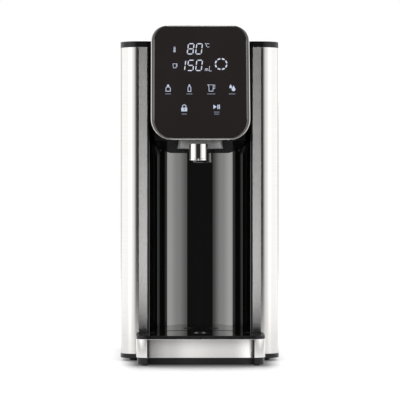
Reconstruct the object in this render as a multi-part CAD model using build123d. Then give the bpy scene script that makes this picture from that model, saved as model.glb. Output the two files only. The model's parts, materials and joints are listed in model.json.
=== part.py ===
"""An instant hot water dispenser: a tall unit with steel side panels and a hollow black front.

The control head leans back over the spout, the drip tray stands in front, and the water tank
lifts off at the back. Millimetres, +Z up, the front faces -Y, and the floor is z = 0.
"""

from build123d import *
import os
from math import atan2, cos, radians, sin, tan

os.makedirs("parts", exist_ok=True)

# Overall sizes
tower_width = 160.0
tower_depth = 135.0
tray_reach = 60.0
tank_bay = 95.0
foot_height = 3.4
skirt_height = 4.3
panel_height = 307.6
cap_height = 5.9

# Shared walls and clearances
shell_wall = 2.5
floor_wall = 2.5
board_wall = 1.6
sheet = 1.0
seam = 0.1
free_gap = 0.5
curve_gap = 0.3
slip_gap = 0.05
press_gap = 0.02
overrun = 20.0

# Steel side panels
front_corner = 18.8
back_corner = 6.0
front_strip = 8.35

# Hollow front panel
recess_depth = 40.0
recess_edge_radius = 6.4
recess_bowl_turn = 33.0
recess_side_turn = 85.0
front_wall = 2.2
front_flange = 6.0
window_width = 40.0
window_lift = 8.8
window_drop = 15.3

# Base pan
base_upstand = 10.0
prong_width = 14.0
prong_inner = 17.0
prong_reach = 30.0
vent_count = 5
vent_side = 30.0
vent_back_gap = 44.0
vent_length = 34.0
vent_width = 3.0
vent_pitch = 8.0
foot_radius = 7.0
foot_chamfer = 0.8
foot_stud_radius = 2.4
foot_button_radius = 3.4
foot_button_height = 1.0
foot_front_side = 16.0
foot_front_inset = 24.0
foot_back_side = 26.0
foot_back_inset = 26.0

# Screws
screw_radius = 1.5
screw_head_radius = 3.0
screw_head_height = 1.6
screw_length = 11.0
screw_boss_radius = 5.5
screw_boss_height = 3.5
base_screw_edge = 10.0
cover_screw_side = 26.0
cover_screw_inset = 16.0

# Inner frame
frame_wall = 3.0
frame_side_gap = 10.4
frame_headroom = 6.0
frame_foot_depth = 12.0
frame_gate_half = 14.0
frame_gate_height = 24.6
shelf_front_gap = 4.0
shelf_clearance = 7.0
wing_front = 24.0

# Tank dock
dock_height = 18.3
dock_corner = 22.0
dock_rim_height = 4.0
socket_radius = 13.0
socket_setback = 30.0
dock_pin_radius = 2.0
stub_radius = 4.0
stub_bore = 2.5
stub_length = 10.0
seal_height = 4.0
seal_lift = 7.0

# Mains lead bushing
gland_bore = 3.6
gland_body_radius = 5.2
gland_flange_radius = 6.2
gland_flange = 1.5
gland_length = 12.0
gland_side = 36.0

# Control head
head_side_gap = 3.95
head_height = 115.2
head_rise = 15.2
head_reach = 46.0
head_lean = 17.0
head_low_corner = 21.0
head_high_corner = 16.0
bezel_depth = 6.0
bezel_rim = 3.2
bezel_end_rim = 1.3
bezel_ledge = 2.7
glass_wall = 2.0
glass_set_back = 0.2
head_set_in = 0.6
head_tail_rise = 1.2
chin_drop = 12.0
chin_gap = 1.5
chin_run = 24.4
board_inset = 4.2
pad_radius = 4.0
pad_row_count = 4
pad_row_share = 0.213
pad_key_share = 0.164
pad_row_gap = 11.5
pad_key_gap = 20.0
display_width = 44.0
display_height = 38.0
display_drop = 14.0
display_gap = 0.4
hose_gate_half = 10.0

# Spout and guard
spout_x = -2.0
spout_setback = 30.0
spout_radius = 9.0
spout_wall = 2.0
spout_drop = 20.0
holder_drop = 3.5
holder_wall = 2.0
holder_lip = 5.0
holder_flange = 2.5
guard_top_radius = 21.5
guard_foot_radius = 22.8
guard_drop = 8.1
guard_wall = 1.5
guard_notch = 4.3
guard_notch_gap = 0.6
separator_radius = 12.0
separator_wall = 1.6
separator_height = 18.0
separator_stub_lift = 11.0

# Drip tray
tray_side = 16.65
tray_corner = 12.0
tray_foot = 1.2
tray_skirt = 6.7
band_height = 18.1
tray_rim_height = 3.4
band_sheet = 0.8
band_end_gap = 3.0
tray_skirt_inset = 1.0
tray_wall = 3.0
tray_floor_lift = 6.3
tray_floor = 2.0
tray_rim = 1.6
tray_ledge = 2.4
plate_wall = 2.0
plate_drop = 0.5
plate_gap = 0.4
tray_foot_radius = 3.0
tray_foot_gap = 2.5
drain_setback = 1.0
drain_radius = 2.4
drain_ring_radius = 5.4
drain_hole_radius = 1.5
drain_ring_count = 6

# Water tank
tank_side = 6.0
tank_front_gap = 2.5
tank_back_gap = 5.0
tank_front_corner = 6.0
tank_back_corner = 20.0
tank_wall = 2.2
tank_drop = 15.2
tank_floor_lift = 3.0
boss_radius = 10.0
boss_bore = 7.5
boss_gap = 3.0
seat_wall = 2.0
seat_bore = 4.5
valve_seal_wall = 1.0
poppet_side_gap = 0.9
poppet_wall = 2.0
poppet_lift = 3.0
poppet_stem_radius = 1.8
poppet_guide_radius = 1.5
poppet_guide_length = 17.0
cage_radius = 12.0
cage_flange = 1.5
cage_bar_wall = 3.0
cage_bar_half_length = 10.0
cage_bar_half_width = 3.5
spring_radius = 4.0
spring_wire = 1.2
strainer_gap = 0.8
strainer_wall = 1.2
strainer_height = 16.0
strainer_slot_count = 12
strainer_slot_width = 2.0
strainer_slot_height = 9.0
float_side_gap = 14.8
float_front_gap = 2.3
float_post_radius = 2.2
float_post_flange_radius = 5.0
float_post_flange = 1.0
float_post_height = 29.0
float_post_cap = 1.5
float_radius = 9.0
float_height = 12.0

# Tank collar, lid and handle
collar_skirt = 8.0
collar_inner_skirt = 6.0
collar_wall = 1.4
collar_deck = 6.0
opening_front_gap = 14.0
opening_corner = 8.0
lid_overlap = 3.0
lid_front_overlap = 6.5
lid_side_gap = 1.5
lid_hinge_gap = 1.0
lid_corner = 6.0
lid_lift = 0.3
lid_height = 7.7
lid_wall = 2.5
plug_wall = 2.0
plug_drop = 4.0
plug_gap = 1.5
plug_front_gap = 2.1
lid_seal_wall = 1.1
lid_seal_lift = 0.5
lid_seal_height = 2.0
hinge_setback = 7.0
hinge_lift = 5.5
hinge_radius = 2.5
hinge_pin_radius = 1.2
knuckle_share = 0.725
lug_width = 6.0
lug_radius = 3.5
tab_half = 12.0
tab_reach = 2.6
tab_wall = 2.5
handle_bar = 6.0
handle_edge_gap = 3.5
handle_corner = 8.0
handle_lift = 5.0
handle_pivot_setback = 9.5
handle_pin_radius = 1.5
handle_lug_wall = 4.0
handle_lug_radius = 4.0
handle_pad_length = 6.0
handle_pad_setback = 18.5
scoop_half = 30.0
scoop_depth = 4.0

# Pump
pump_radius = 19.0
pump_height = 16.1
pump_wall = 3.0
pump_chamber_height = 8.6
pump_plate_margin = 2.0
pump_plate = 3.0
pump_inlet_lift = 5.6
pump_outlet_lift = 8.1
impeller_gap = 2.0
impeller_disc = 1.6
impeller_blade_height = 3.0
impeller_blade_wall = 1.4
impeller_blade_count = 6
impeller_hub_radius = 4.0
impeller_lift = 1.2
shaft_radius = 2.0
shaft_length = 18.0
motor_radius = 15.0
motor_height = 33.0
motor_bore_depth = 13.0
motor_tab_width = 4.0
motor_tab_wall = 0.8
motor_tab_height = 5.0
motor_tab_x = 7.0

# Flow meter
meter_half = 10.0
meter_depth_half = 13.0
meter_height = 22.0
meter_stub_offset = 4.0
meter_stub_gap = 3.0
meter_stub_reach = 8.0
meter_wall = 2.0
meter_end_wall = 4.0
turbine_gap = 1.0
turbine_end_gap = 1.5
turbine_hub_radius = 2.6
turbine_blade_wall = 1.2
turbine_blade_count = 6
turbine_pin_radius = 1.0

# Heater
heater_x = -10.0
heater_half_width = 22.0
heater_half_depth = 15.0
heater_height = 80.0
heater_headroom = 6.0
heater_corner = 4.0
heater_stub_lift = 6.0
heater_stub_length = 12.0
strap_height = 10.0
strap_wall = 1.5
strap_share = 0.25
thermostat_radius = 7.0
thermostat_wall = 5.0
thermostat_spread = 10.0
thermostat_tab = 3.0
thermostat_tab_wall = 0.8
sensor_radius = 3.0
sensor_height = 5.0
sensor_offset = 12.0

# Hoses
hose_wall = 1.5
hose_bite = 8.0
heater_hose_bend = 10.0
outlet_hose_bend = 15.0

# Mains board in the right column
board_margin = 11.0
standoff_length = 2.4
standoff_radius = 3.0
standoff_inset = 6.0

# Along, up, width, height and depth of each part on the mains board, as shares of the board
board_part_shares = (
    (0.30, 0.80, 0.30, 0.16, 0.18),
    (0.72, 0.80, 0.24, 0.20, 0.20),
    (0.30, 0.50, 0.34, 0.14, 0.24),
    (0.74, 0.48, 0.22, 0.22, 0.16),
    (0.30, 0.20, 0.40, 0.12, 0.12),
    (0.76, 0.20, 0.16, 0.10, 0.14),
)

# Places of the tower that follow from the sizes above
overall_depth = tray_reach + tower_depth + tank_bay
tower_half = tower_width / 2
unit_back = overall_depth / 2
tray_front = -overall_depth / 2
tower_front = tray_front + tray_reach
tower_back = tower_front + tower_depth
dock_back = unit_back - gland_flange
panel_foot = foot_height + skirt_height
panel_top = panel_foot + panel_height
cap_top = panel_top + cap_height
base_floor = foot_height + floor_wall
base_boss_top = base_floor + screw_boss_height
recess_half = tower_half - front_corner - front_strip
recess_start = tower_front + sheet + seam
recess_back = recess_start + recess_depth
bowl_turn = radians(recess_bowl_turn)
side_turn = radians(recess_side_turn)
flange_edge = recess_half + front_flange
cover_back = tower_back - sheet
cover_front = cover_back - shell_wall
frame_front = cover_front - frame_wall
frame_half = tower_half - sheet - seam - shell_wall - frame_side_gap
frame_foot_front = frame_front - frame_foot_depth
frame_top = panel_top - frame_headroom
wing_inside = frame_half - frame_wall

# Places of the works
works_y = (recess_back + front_wall + shell_wall + frame_foot_front) / 2
pump_base = base_floor + pump_plate
pump_top = pump_base + pump_height
pump_chamber_radius = pump_radius - pump_wall
pump_plate_half = pump_radius + pump_plate_margin
pump_outlet_z = pump_base + pump_outlet_lift
pump_stub_end = pump_radius + stub_length
impeller_radius = pump_chamber_radius - impeller_gap
inlet_z = pump_base + pump_inlet_lift
meter_stub_right = -pump_stub_end - meter_stub_gap
meter_right = meter_stub_right - meter_stub_reach
meter_x = meter_right - meter_half
meter_top = base_floor + meter_height
meter_stub_x = meter_x - meter_stub_offset
meter_chamber_radius = meter_half - meter_wall
meter_chamber_half = meter_depth_half - meter_end_wall
turbine_radius = meter_chamber_radius - turbine_gap
turbine_half = meter_chamber_half - turbine_end_gap
motor_top = pump_top + motor_height
lower_shelf = motor_top + motor_tab_height + shelf_clearance
heater_low = lower_shelf + frame_wall + shelf_clearance
heater_high = heater_low + heater_height
heater_left = heater_x - heater_half_width
heater_stub_z = heater_low + heater_stub_lift
upper_shelf = heater_high + heater_headroom
hose_radius = stub_radius + hose_wall
board_back_x = wing_inside - standoff_length
board_face_x = board_back_x - board_wall
board_front_y = tower_front + wing_front + board_margin
board_back_y = frame_front - board_margin
board_low = lower_shelf + frame_wall + board_margin
board_high = upper_shelf - board_margin

# Places of the dock, the tank and its valve
dock_top = panel_foot + dock_height
gland_x = gland_side - tower_half
gland_z = (panel_foot + dock_top - shell_wall) / 2
socket_y = tower_back + socket_setback
socket_floor = inlet_z - stub_bore
socket_front = socket_y - socket_radius - shell_wall
tank_half = tower_half - tank_side
tank_front = tower_back + tank_front_gap
tank_rear = dock_back - tank_back_gap
tank_top = cap_top - tank_drop
tank_floor_low = dock_top + tank_floor_lift
tank_floor = tank_floor_low + tank_wall
boss_foot = socket_floor + boss_gap
boss_seat = boss_foot + seat_wall
poppet_low = boss_seat + valve_seal_wall + poppet_lift
poppet_high = poppet_low + poppet_wall
poppet_radius = boss_bore - poppet_side_gap
dock_pin_top = boss_foot + valve_seal_wall
strainer_radius = cage_radius + strainer_gap + strainer_wall
float_x = tank_half - tank_wall - float_radius - float_side_gap
float_y = tank_front + tank_wall + float_radius + float_front_gap
float_low = tank_floor + float_post_flange

# Places of the collar, the lid and the handle
collar_top = tank_top + collar_deck
collar_out = seam + collar_wall
handle_outer_half = tank_half + collar_out - handle_edge_gap
handle_inner_half = handle_outer_half - handle_bar
handle_ear_x = handle_inner_half - free_gap - handle_lug_wall
handle_y = tank_front + handle_pivot_setback
handle_z = collar_top + handle_lift
hinge_y = tank_rear - hinge_setback
hinge_z = collar_top + hinge_lift
handle_back = hinge_y + lug_radius + free_gap + handle_bar
lid_half = handle_ear_x - lid_side_gap
lid_back = hinge_y - lug_radius - lid_hinge_gap
opening_half = lid_half - lid_overlap
opening_front = tank_front + opening_front_gap
opening_back = lid_back - lid_overlap
lid_front = opening_front - lid_front_overlap
lid_low = collar_top + lid_lift
lid_high = lid_low + lid_height
knuckle_half = lid_half * knuckle_share
lug_start = knuckle_half + free_gap
lug_end = lug_start + lug_width

# Places of the head, the spout and the tray
lean = radians(head_lean)
head_width = 2 * (recess_half - head_side_gap)
head_top = cap_top + head_rise
head_foot = head_top - head_height
head_front = tower_front - head_reach
head_slant = head_height / cos(lean)
head_floor = head_foot + head_set_in
head_roof = head_top - head_set_in
head_tail_top = cap_top + head_tail_rise
head_plane = Plane(origin=(0, head_front, head_foot), x_dir=(1, 0, 0), z_dir=(0, -cos(lean), sin(lean)))
glass_back = glass_set_back + glass_wall
pad_row_drop = display_drop + display_height + pad_row_gap
window_low = head_foot + window_lift
window_high = panel_top - window_drop
spout_y = head_front + spout_setback
spout_foot = head_foot - spout_drop
spout_lift = head_floor + shell_wall
holder_foot = head_foot - holder_drop
holder_top = spout_lift + holder_flange
holder_radius = spout_radius + holder_wall
guard_foot = head_foot - guard_drop
chin_front = spout_y + guard_foot_radius + chin_gap
separator_stub_z = holder_top + separator_stub_lift
separator_stub_end = spout_y + separator_radius + stub_length
tray_back = tower_front - free_gap
tray_half = tower_half - tray_side
band_low = tray_foot + tray_skirt
band_high = band_low + band_height
tray_top = band_high + tray_rim_height
tray_floor_low = tray_foot + tray_floor_lift
plate_seat = tray_top - plate_drop - plate_wall
plate_top = plate_seat + plate_wall
tray_foot_inset = tray_wall + tray_foot_radius + tray_foot_gap
drain_y = tower_front + drain_setback


def block(left, right, front, back, low, high):
    """A box between six places."""
    middle = Pos((left + right) / 2, (front + back) / 2, (low + high) / 2)
    return middle * Box(right - left, back - front, high - low)


def post(radius, x, y, low, high):
    """An upright cylinder."""
    return Pos(x, y, (low + high) / 2) * Cylinder(radius, high - low)


def tube(radius, bore, x, y, low, high):
    """An upright tube."""
    return post(radius, x, y, low, high) - post(bore, x, y, low, high)


def rod_x(radius, left, right, y, z):
    """A cylinder along X."""
    return Pos((left + right) / 2, y, z) * Rot(0, 90, 0) * Cylinder(radius, right - left)


def rod_y(radius, front, back, x, z):
    """A cylinder along Y."""
    return Pos(x, (front + back) / 2, z) * Rot(90, 0, 0) * Cylinder(radius, back - front)


def slab(face, low, high):
    """A plan outline raised between two heights."""
    return extrude(Pos(0, 0, low) * face, high - low, dir=(0, 0, 1))


def plan(half, front, back, front_radius, back_radius):
    """A rounded rectangle seen from above, with its own radius at the front and at the back."""
    corners = [(-half, front), (half, front), (half, back), (-half, back)]
    radii = [front_radius, front_radius, back_radius, back_radius]
    return make_face(FilletPolyline(*corners, radius=radii, close=True))


def both_sides(solid):
    """A piece and its mirror image across x = 0."""
    return [solid, mirror(solid, about=Plane.YZ)]


def tower_slab(inset, low, high, back=tower_back, back_radius=back_corner):
    """The tower's outline, set in all round."""
    face = plan(
        tower_half - inset,
        tower_front + inset,
        back - inset,
        front_corner - inset,
        back_radius - inset,
    )
    return slab(face, low, high)


def recess_radii():
    """The radii of the hollow's bowl and of its side arcs, from its width, depth and turns."""
    across = recess_half - recess_edge_radius * sin(side_turn)
    deep = recess_depth - recess_edge_radius * (1 - cos(side_turn))
    bowl_across = sin(bowl_turn)
    bowl_deep = 1 - cos(bowl_turn)
    side_across = sin(side_turn) - bowl_across
    side_deep = cos(bowl_turn) - cos(side_turn)
    scale = bowl_across * side_deep - side_across * bowl_deep
    bowl = (across * side_deep - side_across * deep) / scale
    side = (bowl_across * deep - bowl_deep * across) / scale
    return bowl, side


def turned(centre, radius, turn):
    """The point of an arc at a turn from straight back."""
    return (centre[0] + radius * sin(turn), centre[1] + radius * cos(turn))


def recess_space(offset, low, high, half=recess_half):
    """The hollow ahead of the front panel: a bowl, two side arcs and two edges, moved back by an offset."""
    bowl_radius, side_radius = recess_radii()
    bowl_centre = (0, recess_back - bowl_radius)
    side_centre = turned(bowl_centre, bowl_radius - side_radius, bowl_turn)
    edge_centre = (recess_half, recess_start + recess_edge_radius)
    start = (recess_half, recess_start + offset)
    edge = [turned(edge_centre, offset - recess_edge_radius, side_turn * i / 2) for i in range(3)]
    wall_turns = (side_turn, (side_turn + bowl_turn) / 2, bowl_turn)
    wall = [turned(side_centre, side_radius + offset, turn) for turn in wall_turns]
    lines = [ThreePointArc(*points) for points in (edge, wall)]
    lines += [ThreePointArc(*[(-x, y) for x, y in points]) for points in (edge, wall)]
    lines.append(ThreePointArc(wall[-1], (0, recess_back + offset), (-wall[-1][0], wall[-1][1])))
    lines.append(
        Polyline(
            (-start[0], start[1]),
            (-recess_half, tray_front - overrun),
            (recess_half, tray_front - overrun),
            start,
        )
    )
    space = slab(make_face(Curve() + lines), low, high)
    if half < recess_half:
        space &= block(-half, half, tray_front - overrun, recess_back + overrun, low, high)
    return space


def leaned_outline(inset, low, high):
    """The head's front outline on its leaning plane, set in at the sides, the foot and the top."""
    half = head_width / 2 - inset
    corners = [(-half, low), (half, low), (half, head_slant - high), (-half, head_slant - high)]
    low_radius = head_low_corner - inset
    high_radius = head_high_corner - inset
    return make_face(
        FilletPolyline(*corners, radius=[low_radius, low_radius, high_radius, high_radius], close=True)
    )


def leaned(face, near, far):
    """A piece on the head's plane between two depths behind it."""
    return head_plane * Pos(0, 0, -far) * extrude(face, far - near, dir=(0, 0, 1))


def leaned_spot(x, drop, radius, near, far):
    """A round piece on the head's plane, a given way down from its top edge."""
    spot = Pos(x, head_slant - drop, -(near + far) / 2) * Cylinder(radius, far - near)
    return head_plane * spot


def write(name, solids):
    """Writes one node's file."""
    pieces = []
    for solid in solids if isinstance(solids, (list, tuple)) else [solids]:
        pieces.extend(solid.solids())
    shape = pieces[0] if len(pieces) == 1 else Compound(children=pieces)
    export_step(shape, os.path.join("parts", name + ".step"))


def foot_places():
    """Where the four rubber feet stand."""
    front = (tower_half - foot_front_side, tower_front + foot_front_inset)
    back = (tower_half - foot_back_side, dock_back - foot_back_inset)
    return [(side * x, y) for x, y in (front, back) for side in (-1, 1)]


def base_screw_places():
    """Where the base is screwed to the frame's foot."""
    y = (frame_foot_front + frame_front) / 2
    outer = frame_half - base_screw_edge
    inner = frame_gate_half + base_screw_edge
    return [(side * x, y) for x in (outer, inner) for side in (-1, 1)]


def cover_screw_places():
    """Where the back cover is screwed to the frame."""
    x = frame_half - cover_screw_side
    heights = (dock_top + cover_screw_inset, frame_top - cover_screw_inset)
    return [(side * x, z) for z in heights for side in (-1, 1)]


def make_base_plate():
    """The base pan, with two prongs that guide the tray."""
    pan = tower_slab(0, foot_height, panel_foot, dock_back, dock_corner)
    set_in = sheet + seam + shell_wall
    pocket = tower_slab(set_in, base_floor, panel_foot + overrun, dock_back, dock_corner)
    pocket -= recess_space(front_wall + shell_wall, base_floor, panel_foot + overrun)
    pan -= pocket
    upstand = tower_slab(sheet + seam, panel_foot, panel_foot + base_upstand)
    upstand -= tower_slab(set_in, panel_foot, panel_foot + base_upstand)
    upstand -= block(
        -flange_edge - seam,
        flange_edge + seam,
        tower_front - overrun,
        tower_back + overrun,
        panel_foot,
        panel_foot + base_upstand,
    )
    upstand -= block(
        -tower_half, tower_half, frame_front, tower_back + overrun, panel_foot, panel_foot + base_upstand
    )
    pan += upstand
    pan -= recess_space(0, 0, panel_foot + overrun)
    prong = block(
        prong_inner,
        prong_inner + prong_width,
        tower_front - prong_reach,
        recess_back + shell_wall,
        foot_height,
        base_floor,
    )
    for piece in both_sides(prong):
        pan += piece
    for x, y in base_screw_places():
        pan += post(screw_boss_radius, x, y, base_floor, base_boss_top)
        pan -= post(screw_radius + slip_gap, x, y, foot_height, base_boss_top)
        pan -= post(screw_head_radius + seam, x, y, foot_height, base_floor)
    for x, y in foot_places():
        pan -= post(foot_stud_radius + slip_gap, x, y, foot_height, base_floor)
    vent_back = frame_front - vent_back_gap
    for i in range(vent_count):
        x = tower_half - vent_side + (i - (vent_count - 1) / 2) * vent_pitch
        pan -= block(
            x - vent_width / 2,
            x + vent_width / 2,
            vent_back - vent_length,
            vent_back,
            foot_height,
            base_floor,
        )
    return pan


def make_rubber_feet():
    """Rubber feet with a button stud through the base."""
    feet = []
    for x, y in foot_places():
        pad = post(foot_radius, x, y, 0, foot_height)
        pad = chamfer(pad.edges().group_by(Axis.Z)[0], foot_chamfer)
        stud = post(foot_stud_radius, x, y, foot_height, base_floor)
        button = post(foot_button_radius, x, y, base_floor, base_floor + foot_button_height)
        feet.append(pad + stud + button)
    return feet


def make_housing_screws():
    """Screws under the base and in the back cover."""
    screws = []
    for x, y in base_screw_places():
        head_low = base_floor - screw_head_height
        shank = post(screw_radius, x, y, base_floor, base_floor + screw_length)
        screws.append(post(screw_head_radius, x, y, head_low, base_floor) + shank)
    head_front_y = cover_back - screw_head_height + seam
    for x, z in cover_screw_places():
        head = rod_y(screw_head_radius, head_front_y, cover_back + seam, x, z)
        screws.append(head + rod_y(screw_radius, frame_front - sheet, head_front_y, x, z))
    return screws


def make_chassis_frame():
    """The inner frame: a back plate with a foot, two shelves and a wing for the mains board."""
    foot_top = base_boss_top + frame_wall
    gate_top = base_boss_top + frame_gate_height
    shelf_front = recess_back + front_wall + shelf_front_gap
    frame = block(-frame_half, frame_half, frame_front, cover_front, base_boss_top, frame_top)
    frame += block(-frame_half, frame_half, frame_foot_front, frame_front, base_boss_top, foot_top)
    frame -= block(
        -frame_gate_half, frame_gate_half, frame_foot_front, cover_front, base_boss_top, gate_top
    )
    for low in (lower_shelf, upper_shelf):
        frame += block(-wing_inside, wing_inside, shelf_front, frame_front, low, low + frame_wall)
    wing_y = tower_front + wing_front
    frame += block(wing_inside, frame_half, wing_y, frame_front, lower_shelf, upper_shelf + frame_wall)
    hole = hose_radius + free_gap
    frame -= post(hole, meter_stub_x, works_y, lower_shelf, lower_shelf + frame_wall)
    frame -= post(hole, spout_x, works_y, upper_shelf, upper_shelf + frame_wall)
    for x, y in base_screw_places():
        frame -= post(screw_radius + slip_gap, x, y, base_boss_top, foot_top)
    for x, z in cover_screw_places():
        frame -= rod_y(screw_radius + slip_gap, frame_front, cover_front, x, z)
    return frame


def make_side_panel():
    """The right-hand steel panel, bent round the front and back corners."""
    sheet_ring = tower_slab(0, panel_foot, panel_top) - tower_slab(sheet, panel_foot, panel_top)
    keep = block(recess_half, tower_half, tower_front, tower_back, panel_foot, panel_top)
    return sheet_ring & keep


def make_front_panel():
    """The gloss front: a smooth hollow with a flange behind each steel strip."""
    panel = recess_space(front_wall, panel_foot, panel_top) - recess_space(0, panel_foot, panel_top)
    flange = block(
        recess_half, flange_edge, recess_start, recess_start + front_wall, panel_foot, panel_top
    )
    for piece in both_sides(flange):
        panel += piece
    half = window_width / 2
    return panel - block(-half, half, tower_front, recess_back + overrun, window_low, window_high)


def make_top_cap():
    """The cap, hollow below, with a plug on each side."""
    cap = tower_slab(0, panel_top, cap_top)
    rim = sheet + seam + shell_wall
    cap -= tower_slab(rim, panel_top, cap_top - shell_wall) - recess_space(
        front_wall + shell_wall, panel_top, cap_top
    )
    cap -= recess_space(0, panel_top, cap_top)
    plug = tower_slab(sheet + seam, frame_top, panel_top) - tower_slab(rim, frame_top, panel_top)
    keep = block(flange_edge + seam, tower_half, tower_front, frame_front, frame_top, panel_top)
    for piece in both_sides(plug & keep):
        cap += piece
    return cap


def make_back_cover():
    """The plate behind the works."""
    half = tower_half - back_corner
    cover = block(-half, half, cover_front, cover_back, dock_top, panel_top)
    for x, z in cover_screw_places():
        cover -= rod_y(screw_radius + slip_gap, cover_front, cover_back, x, z)
        head_front_y = cover_back - screw_head_height + seam
        cover -= rod_y(screw_head_radius + seam, head_front_y, cover_back, x, z)
    return cover


def tank_plan(out):
    """The tank's outline, grown or set in."""
    return plan(
        tank_half + out,
        tank_front - out,
        tank_rear + out,
        tank_front_corner + out,
        tank_back_corner + out,
    )


def make_tank_dock():
    """The shelf that carries the tank, with the outlet socket, its pin and its stub."""
    outline = plan(tower_half, tower_back, dock_back, 0, dock_corner)
    dock = slab(outline, panel_foot, dock_top)
    hollow = plan(
        tower_half - shell_wall, tower_back - overrun, dock_back - shell_wall, 0, dock_corner - shell_wall
    )
    dock -= slab(hollow, panel_foot, dock_top - shell_wall)
    rim = slab(tank_plan(free_gap + shell_wall), dock_top, dock_top + dock_rim_height)
    rim -= slab(tank_plan(free_gap), dock_top, dock_top + dock_rim_height)
    rim -= block(
        -tower_half,
        tower_half,
        tower_front,
        tank_front + tank_front_corner,
        dock_top,
        dock_top + dock_rim_height,
    )
    dock += rim
    socket_low = socket_floor - floor_wall
    stub_front = socket_front - stub_length
    dock += post(socket_radius + shell_wall, 0, socket_y, socket_low, dock_top)
    dock += rod_y(stub_radius, stub_front, socket_y - socket_radius, 0, inlet_z)
    dock -= post(socket_radius, 0, socket_y, socket_floor, dock_top + overrun)
    dock += post(dock_pin_radius, 0, socket_y, socket_low, dock_pin_top)
    dock -= rod_y(stub_bore, stub_front, socket_y - socket_radius + shell_wall, 0, inlet_z)
    dock -= rod_y(gland_body_radius + seam, dock_back - 2 * shell_wall, dock_back, gland_x, gland_z)
    return dock


def make_dock_seal():
    """The ring that the tank's outlet pushes into."""
    low = socket_floor + seal_lift
    return tube(socket_radius, boss_radius + curve_gap, 0, socket_y, low, low + seal_height)


def make_cord_gland():
    """The bushing for the mains lead."""
    front = unit_back - gland_length
    inner = dock_back - shell_wall
    gland = rod_y(gland_body_radius, front, unit_back, gland_x, gland_z)
    gland += rod_y(gland_flange_radius, dock_back, unit_back, gland_x, gland_z)
    gland += rod_y(gland_flange_radius, inner - gland_flange, inner, gland_x, gland_z)
    return gland - rod_y(gland_bore, front, unit_back, gland_x, gland_z)


def head_column(inset, floor):
    """The head's outline drawn straight back to the hollow, set in all round."""
    half = head_width / 2 - head_set_in - inset
    low = floor + inset
    high = head_roof - inset
    corners = [(-half, low), (half, low), (half, high), (-half, high)]
    low_radius = head_low_corner - head_set_in - inset
    high_radius = head_high_corner - head_set_in - inset
    face = make_face(
        FilletPolyline(*corners, radius=[low_radius, low_radius, high_radius, high_radius], close=True)
    )
    length = recess_back - head_front
    column = Pos(0, head_front, 0) * Rot(90, 0, 0) * extrude(face, -length, dir=(0, 0, 1))
    return column & recess_space(-curve_gap - inset, low, high)


def head_chin(inset):
    """The underside behind the guard, which falls towards the hollow and then runs level."""
    floor = head_floor - chin_drop
    half = head_width / 2
    chin = head_column(inset, floor)
    chin &= block(-half, half, chin_front + inset, recess_back, floor, head_floor + head_low_corner)
    fall = atan2(chin_drop, chin_run)
    under = Plane(
        origin=(0, chin_front, head_floor), x_dir=(1, 0, 0), z_dir=(0, -sin(fall), -cos(fall))
    )
    below = Pos(0, 0, overall_depth / 2 - inset) * Box(overall_depth, overall_depth, overall_depth)
    return chin - under * below


def head_body(inset, depth):
    """The head behind its rim, set in all round, from a depth behind the front plane."""
    body = head_column(inset, head_floor) + head_chin(inset)
    ahead = Pos(0, head_slant / 2, overall_depth / 2 - depth) * Box(
        overall_depth, overall_depth, overall_depth
    )
    body -= head_plane * ahead
    roof_front = head_front + head_slant * sin(lean) + bezel_depth / cos(lean)
    fall = atan2(head_roof - head_tail_top, recess_back - roof_front)
    roof = Plane(origin=(0, roof_front, head_roof), x_dir=(1, 0, 0), z_dir=(0, sin(fall), cos(fall)))
    above = Pos(0, 0, overall_depth / 2 - inset) * Box(overall_depth, overall_depth, overall_depth)
    return body - roof * above


def make_head_housing():
    """The head's shell, open at the front and holed for the spout and the hose."""
    shell = head_body(0, bezel_depth) - head_body(shell_wall, bezel_depth - overrun)
    shell -= post(holder_radius + curve_gap, spout_x, spout_y, head_foot - overrun, spout_lift)
    shell -= block(
        spout_x - hose_gate_half,
        spout_x + hose_gate_half,
        recess_back - overrun,
        recess_back + overrun,
        separator_stub_z - hose_gate_half,
        separator_stub_z + hose_gate_half,
    )
    return shell


def make_head_bezel():
    """The steel rim that holds the glass."""
    slice_place = Pos(0, head_slant / 2, -bezel_depth / 2)
    slice_box = slice_place * Box(overall_depth, overall_depth, bezel_depth)
    rim = head_column(-head_set_in, head_floor) & head_plane * slice_box
    rim -= leaned(leaned_outline(bezel_rim, bezel_end_rim, bezel_end_rim), 0, glass_back)
    end = bezel_end_rim + bezel_ledge
    return rim - leaned(leaned_outline(bezel_rim + bezel_ledge, end, end), glass_back, bezel_depth)


def make_control_glass():
    """The black touch glass."""
    end = bezel_end_rim + seam
    return leaned(leaned_outline(bezel_rim + seam, end, end), glass_set_back, glass_back)


def pad_places():
    """Touch spots on the glass: a row and two keys below."""
    step = head_width * pad_row_share
    places = []
    for i in range(pad_row_count):
        places.append(((i - (pad_row_count - 1) / 2) * step, pad_row_drop))
    for side in (-1, 1):
        places.append((side * head_width * pad_key_share, pad_row_drop + pad_key_gap))
    return places


def make_touch_pads():
    """Sensor pads between the board and the glass."""
    return [leaned_spot(x, drop, pad_radius, glass_back, bezel_depth) for x, drop in pad_places()]


def make_control_board():
    """The circuit board against the rim's back."""
    low = board_inset + bezel_depth * tan(lean)
    return leaned(leaned_outline(board_inset, low, board_inset), bezel_depth, bezel_depth + board_wall)


def make_display_module():
    """The lit digits on the board."""
    near = glass_back + display_gap
    middle = head_slant - display_drop - display_height / 2
    module = Pos(0, middle, -(near + bezel_depth) / 2) * Box(
        display_width, display_height, bezel_depth - near
    )
    return head_plane * module


def make_spout_holder():
    """The flanged neck that holds the spout in the head's floor."""
    neck = post(holder_radius, spout_x, spout_y, holder_foot, holder_top)
    flange = post(holder_radius + holder_lip, spout_x, spout_y, spout_lift, holder_top)
    return neck + flange - post(spout_radius + press_gap, spout_x, spout_y, holder_foot, holder_top)


def make_spout_tube():
    """The steel spout."""
    return tube(spout_radius, spout_radius - spout_wall, spout_x, spout_y, spout_foot, holder_top)


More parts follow.
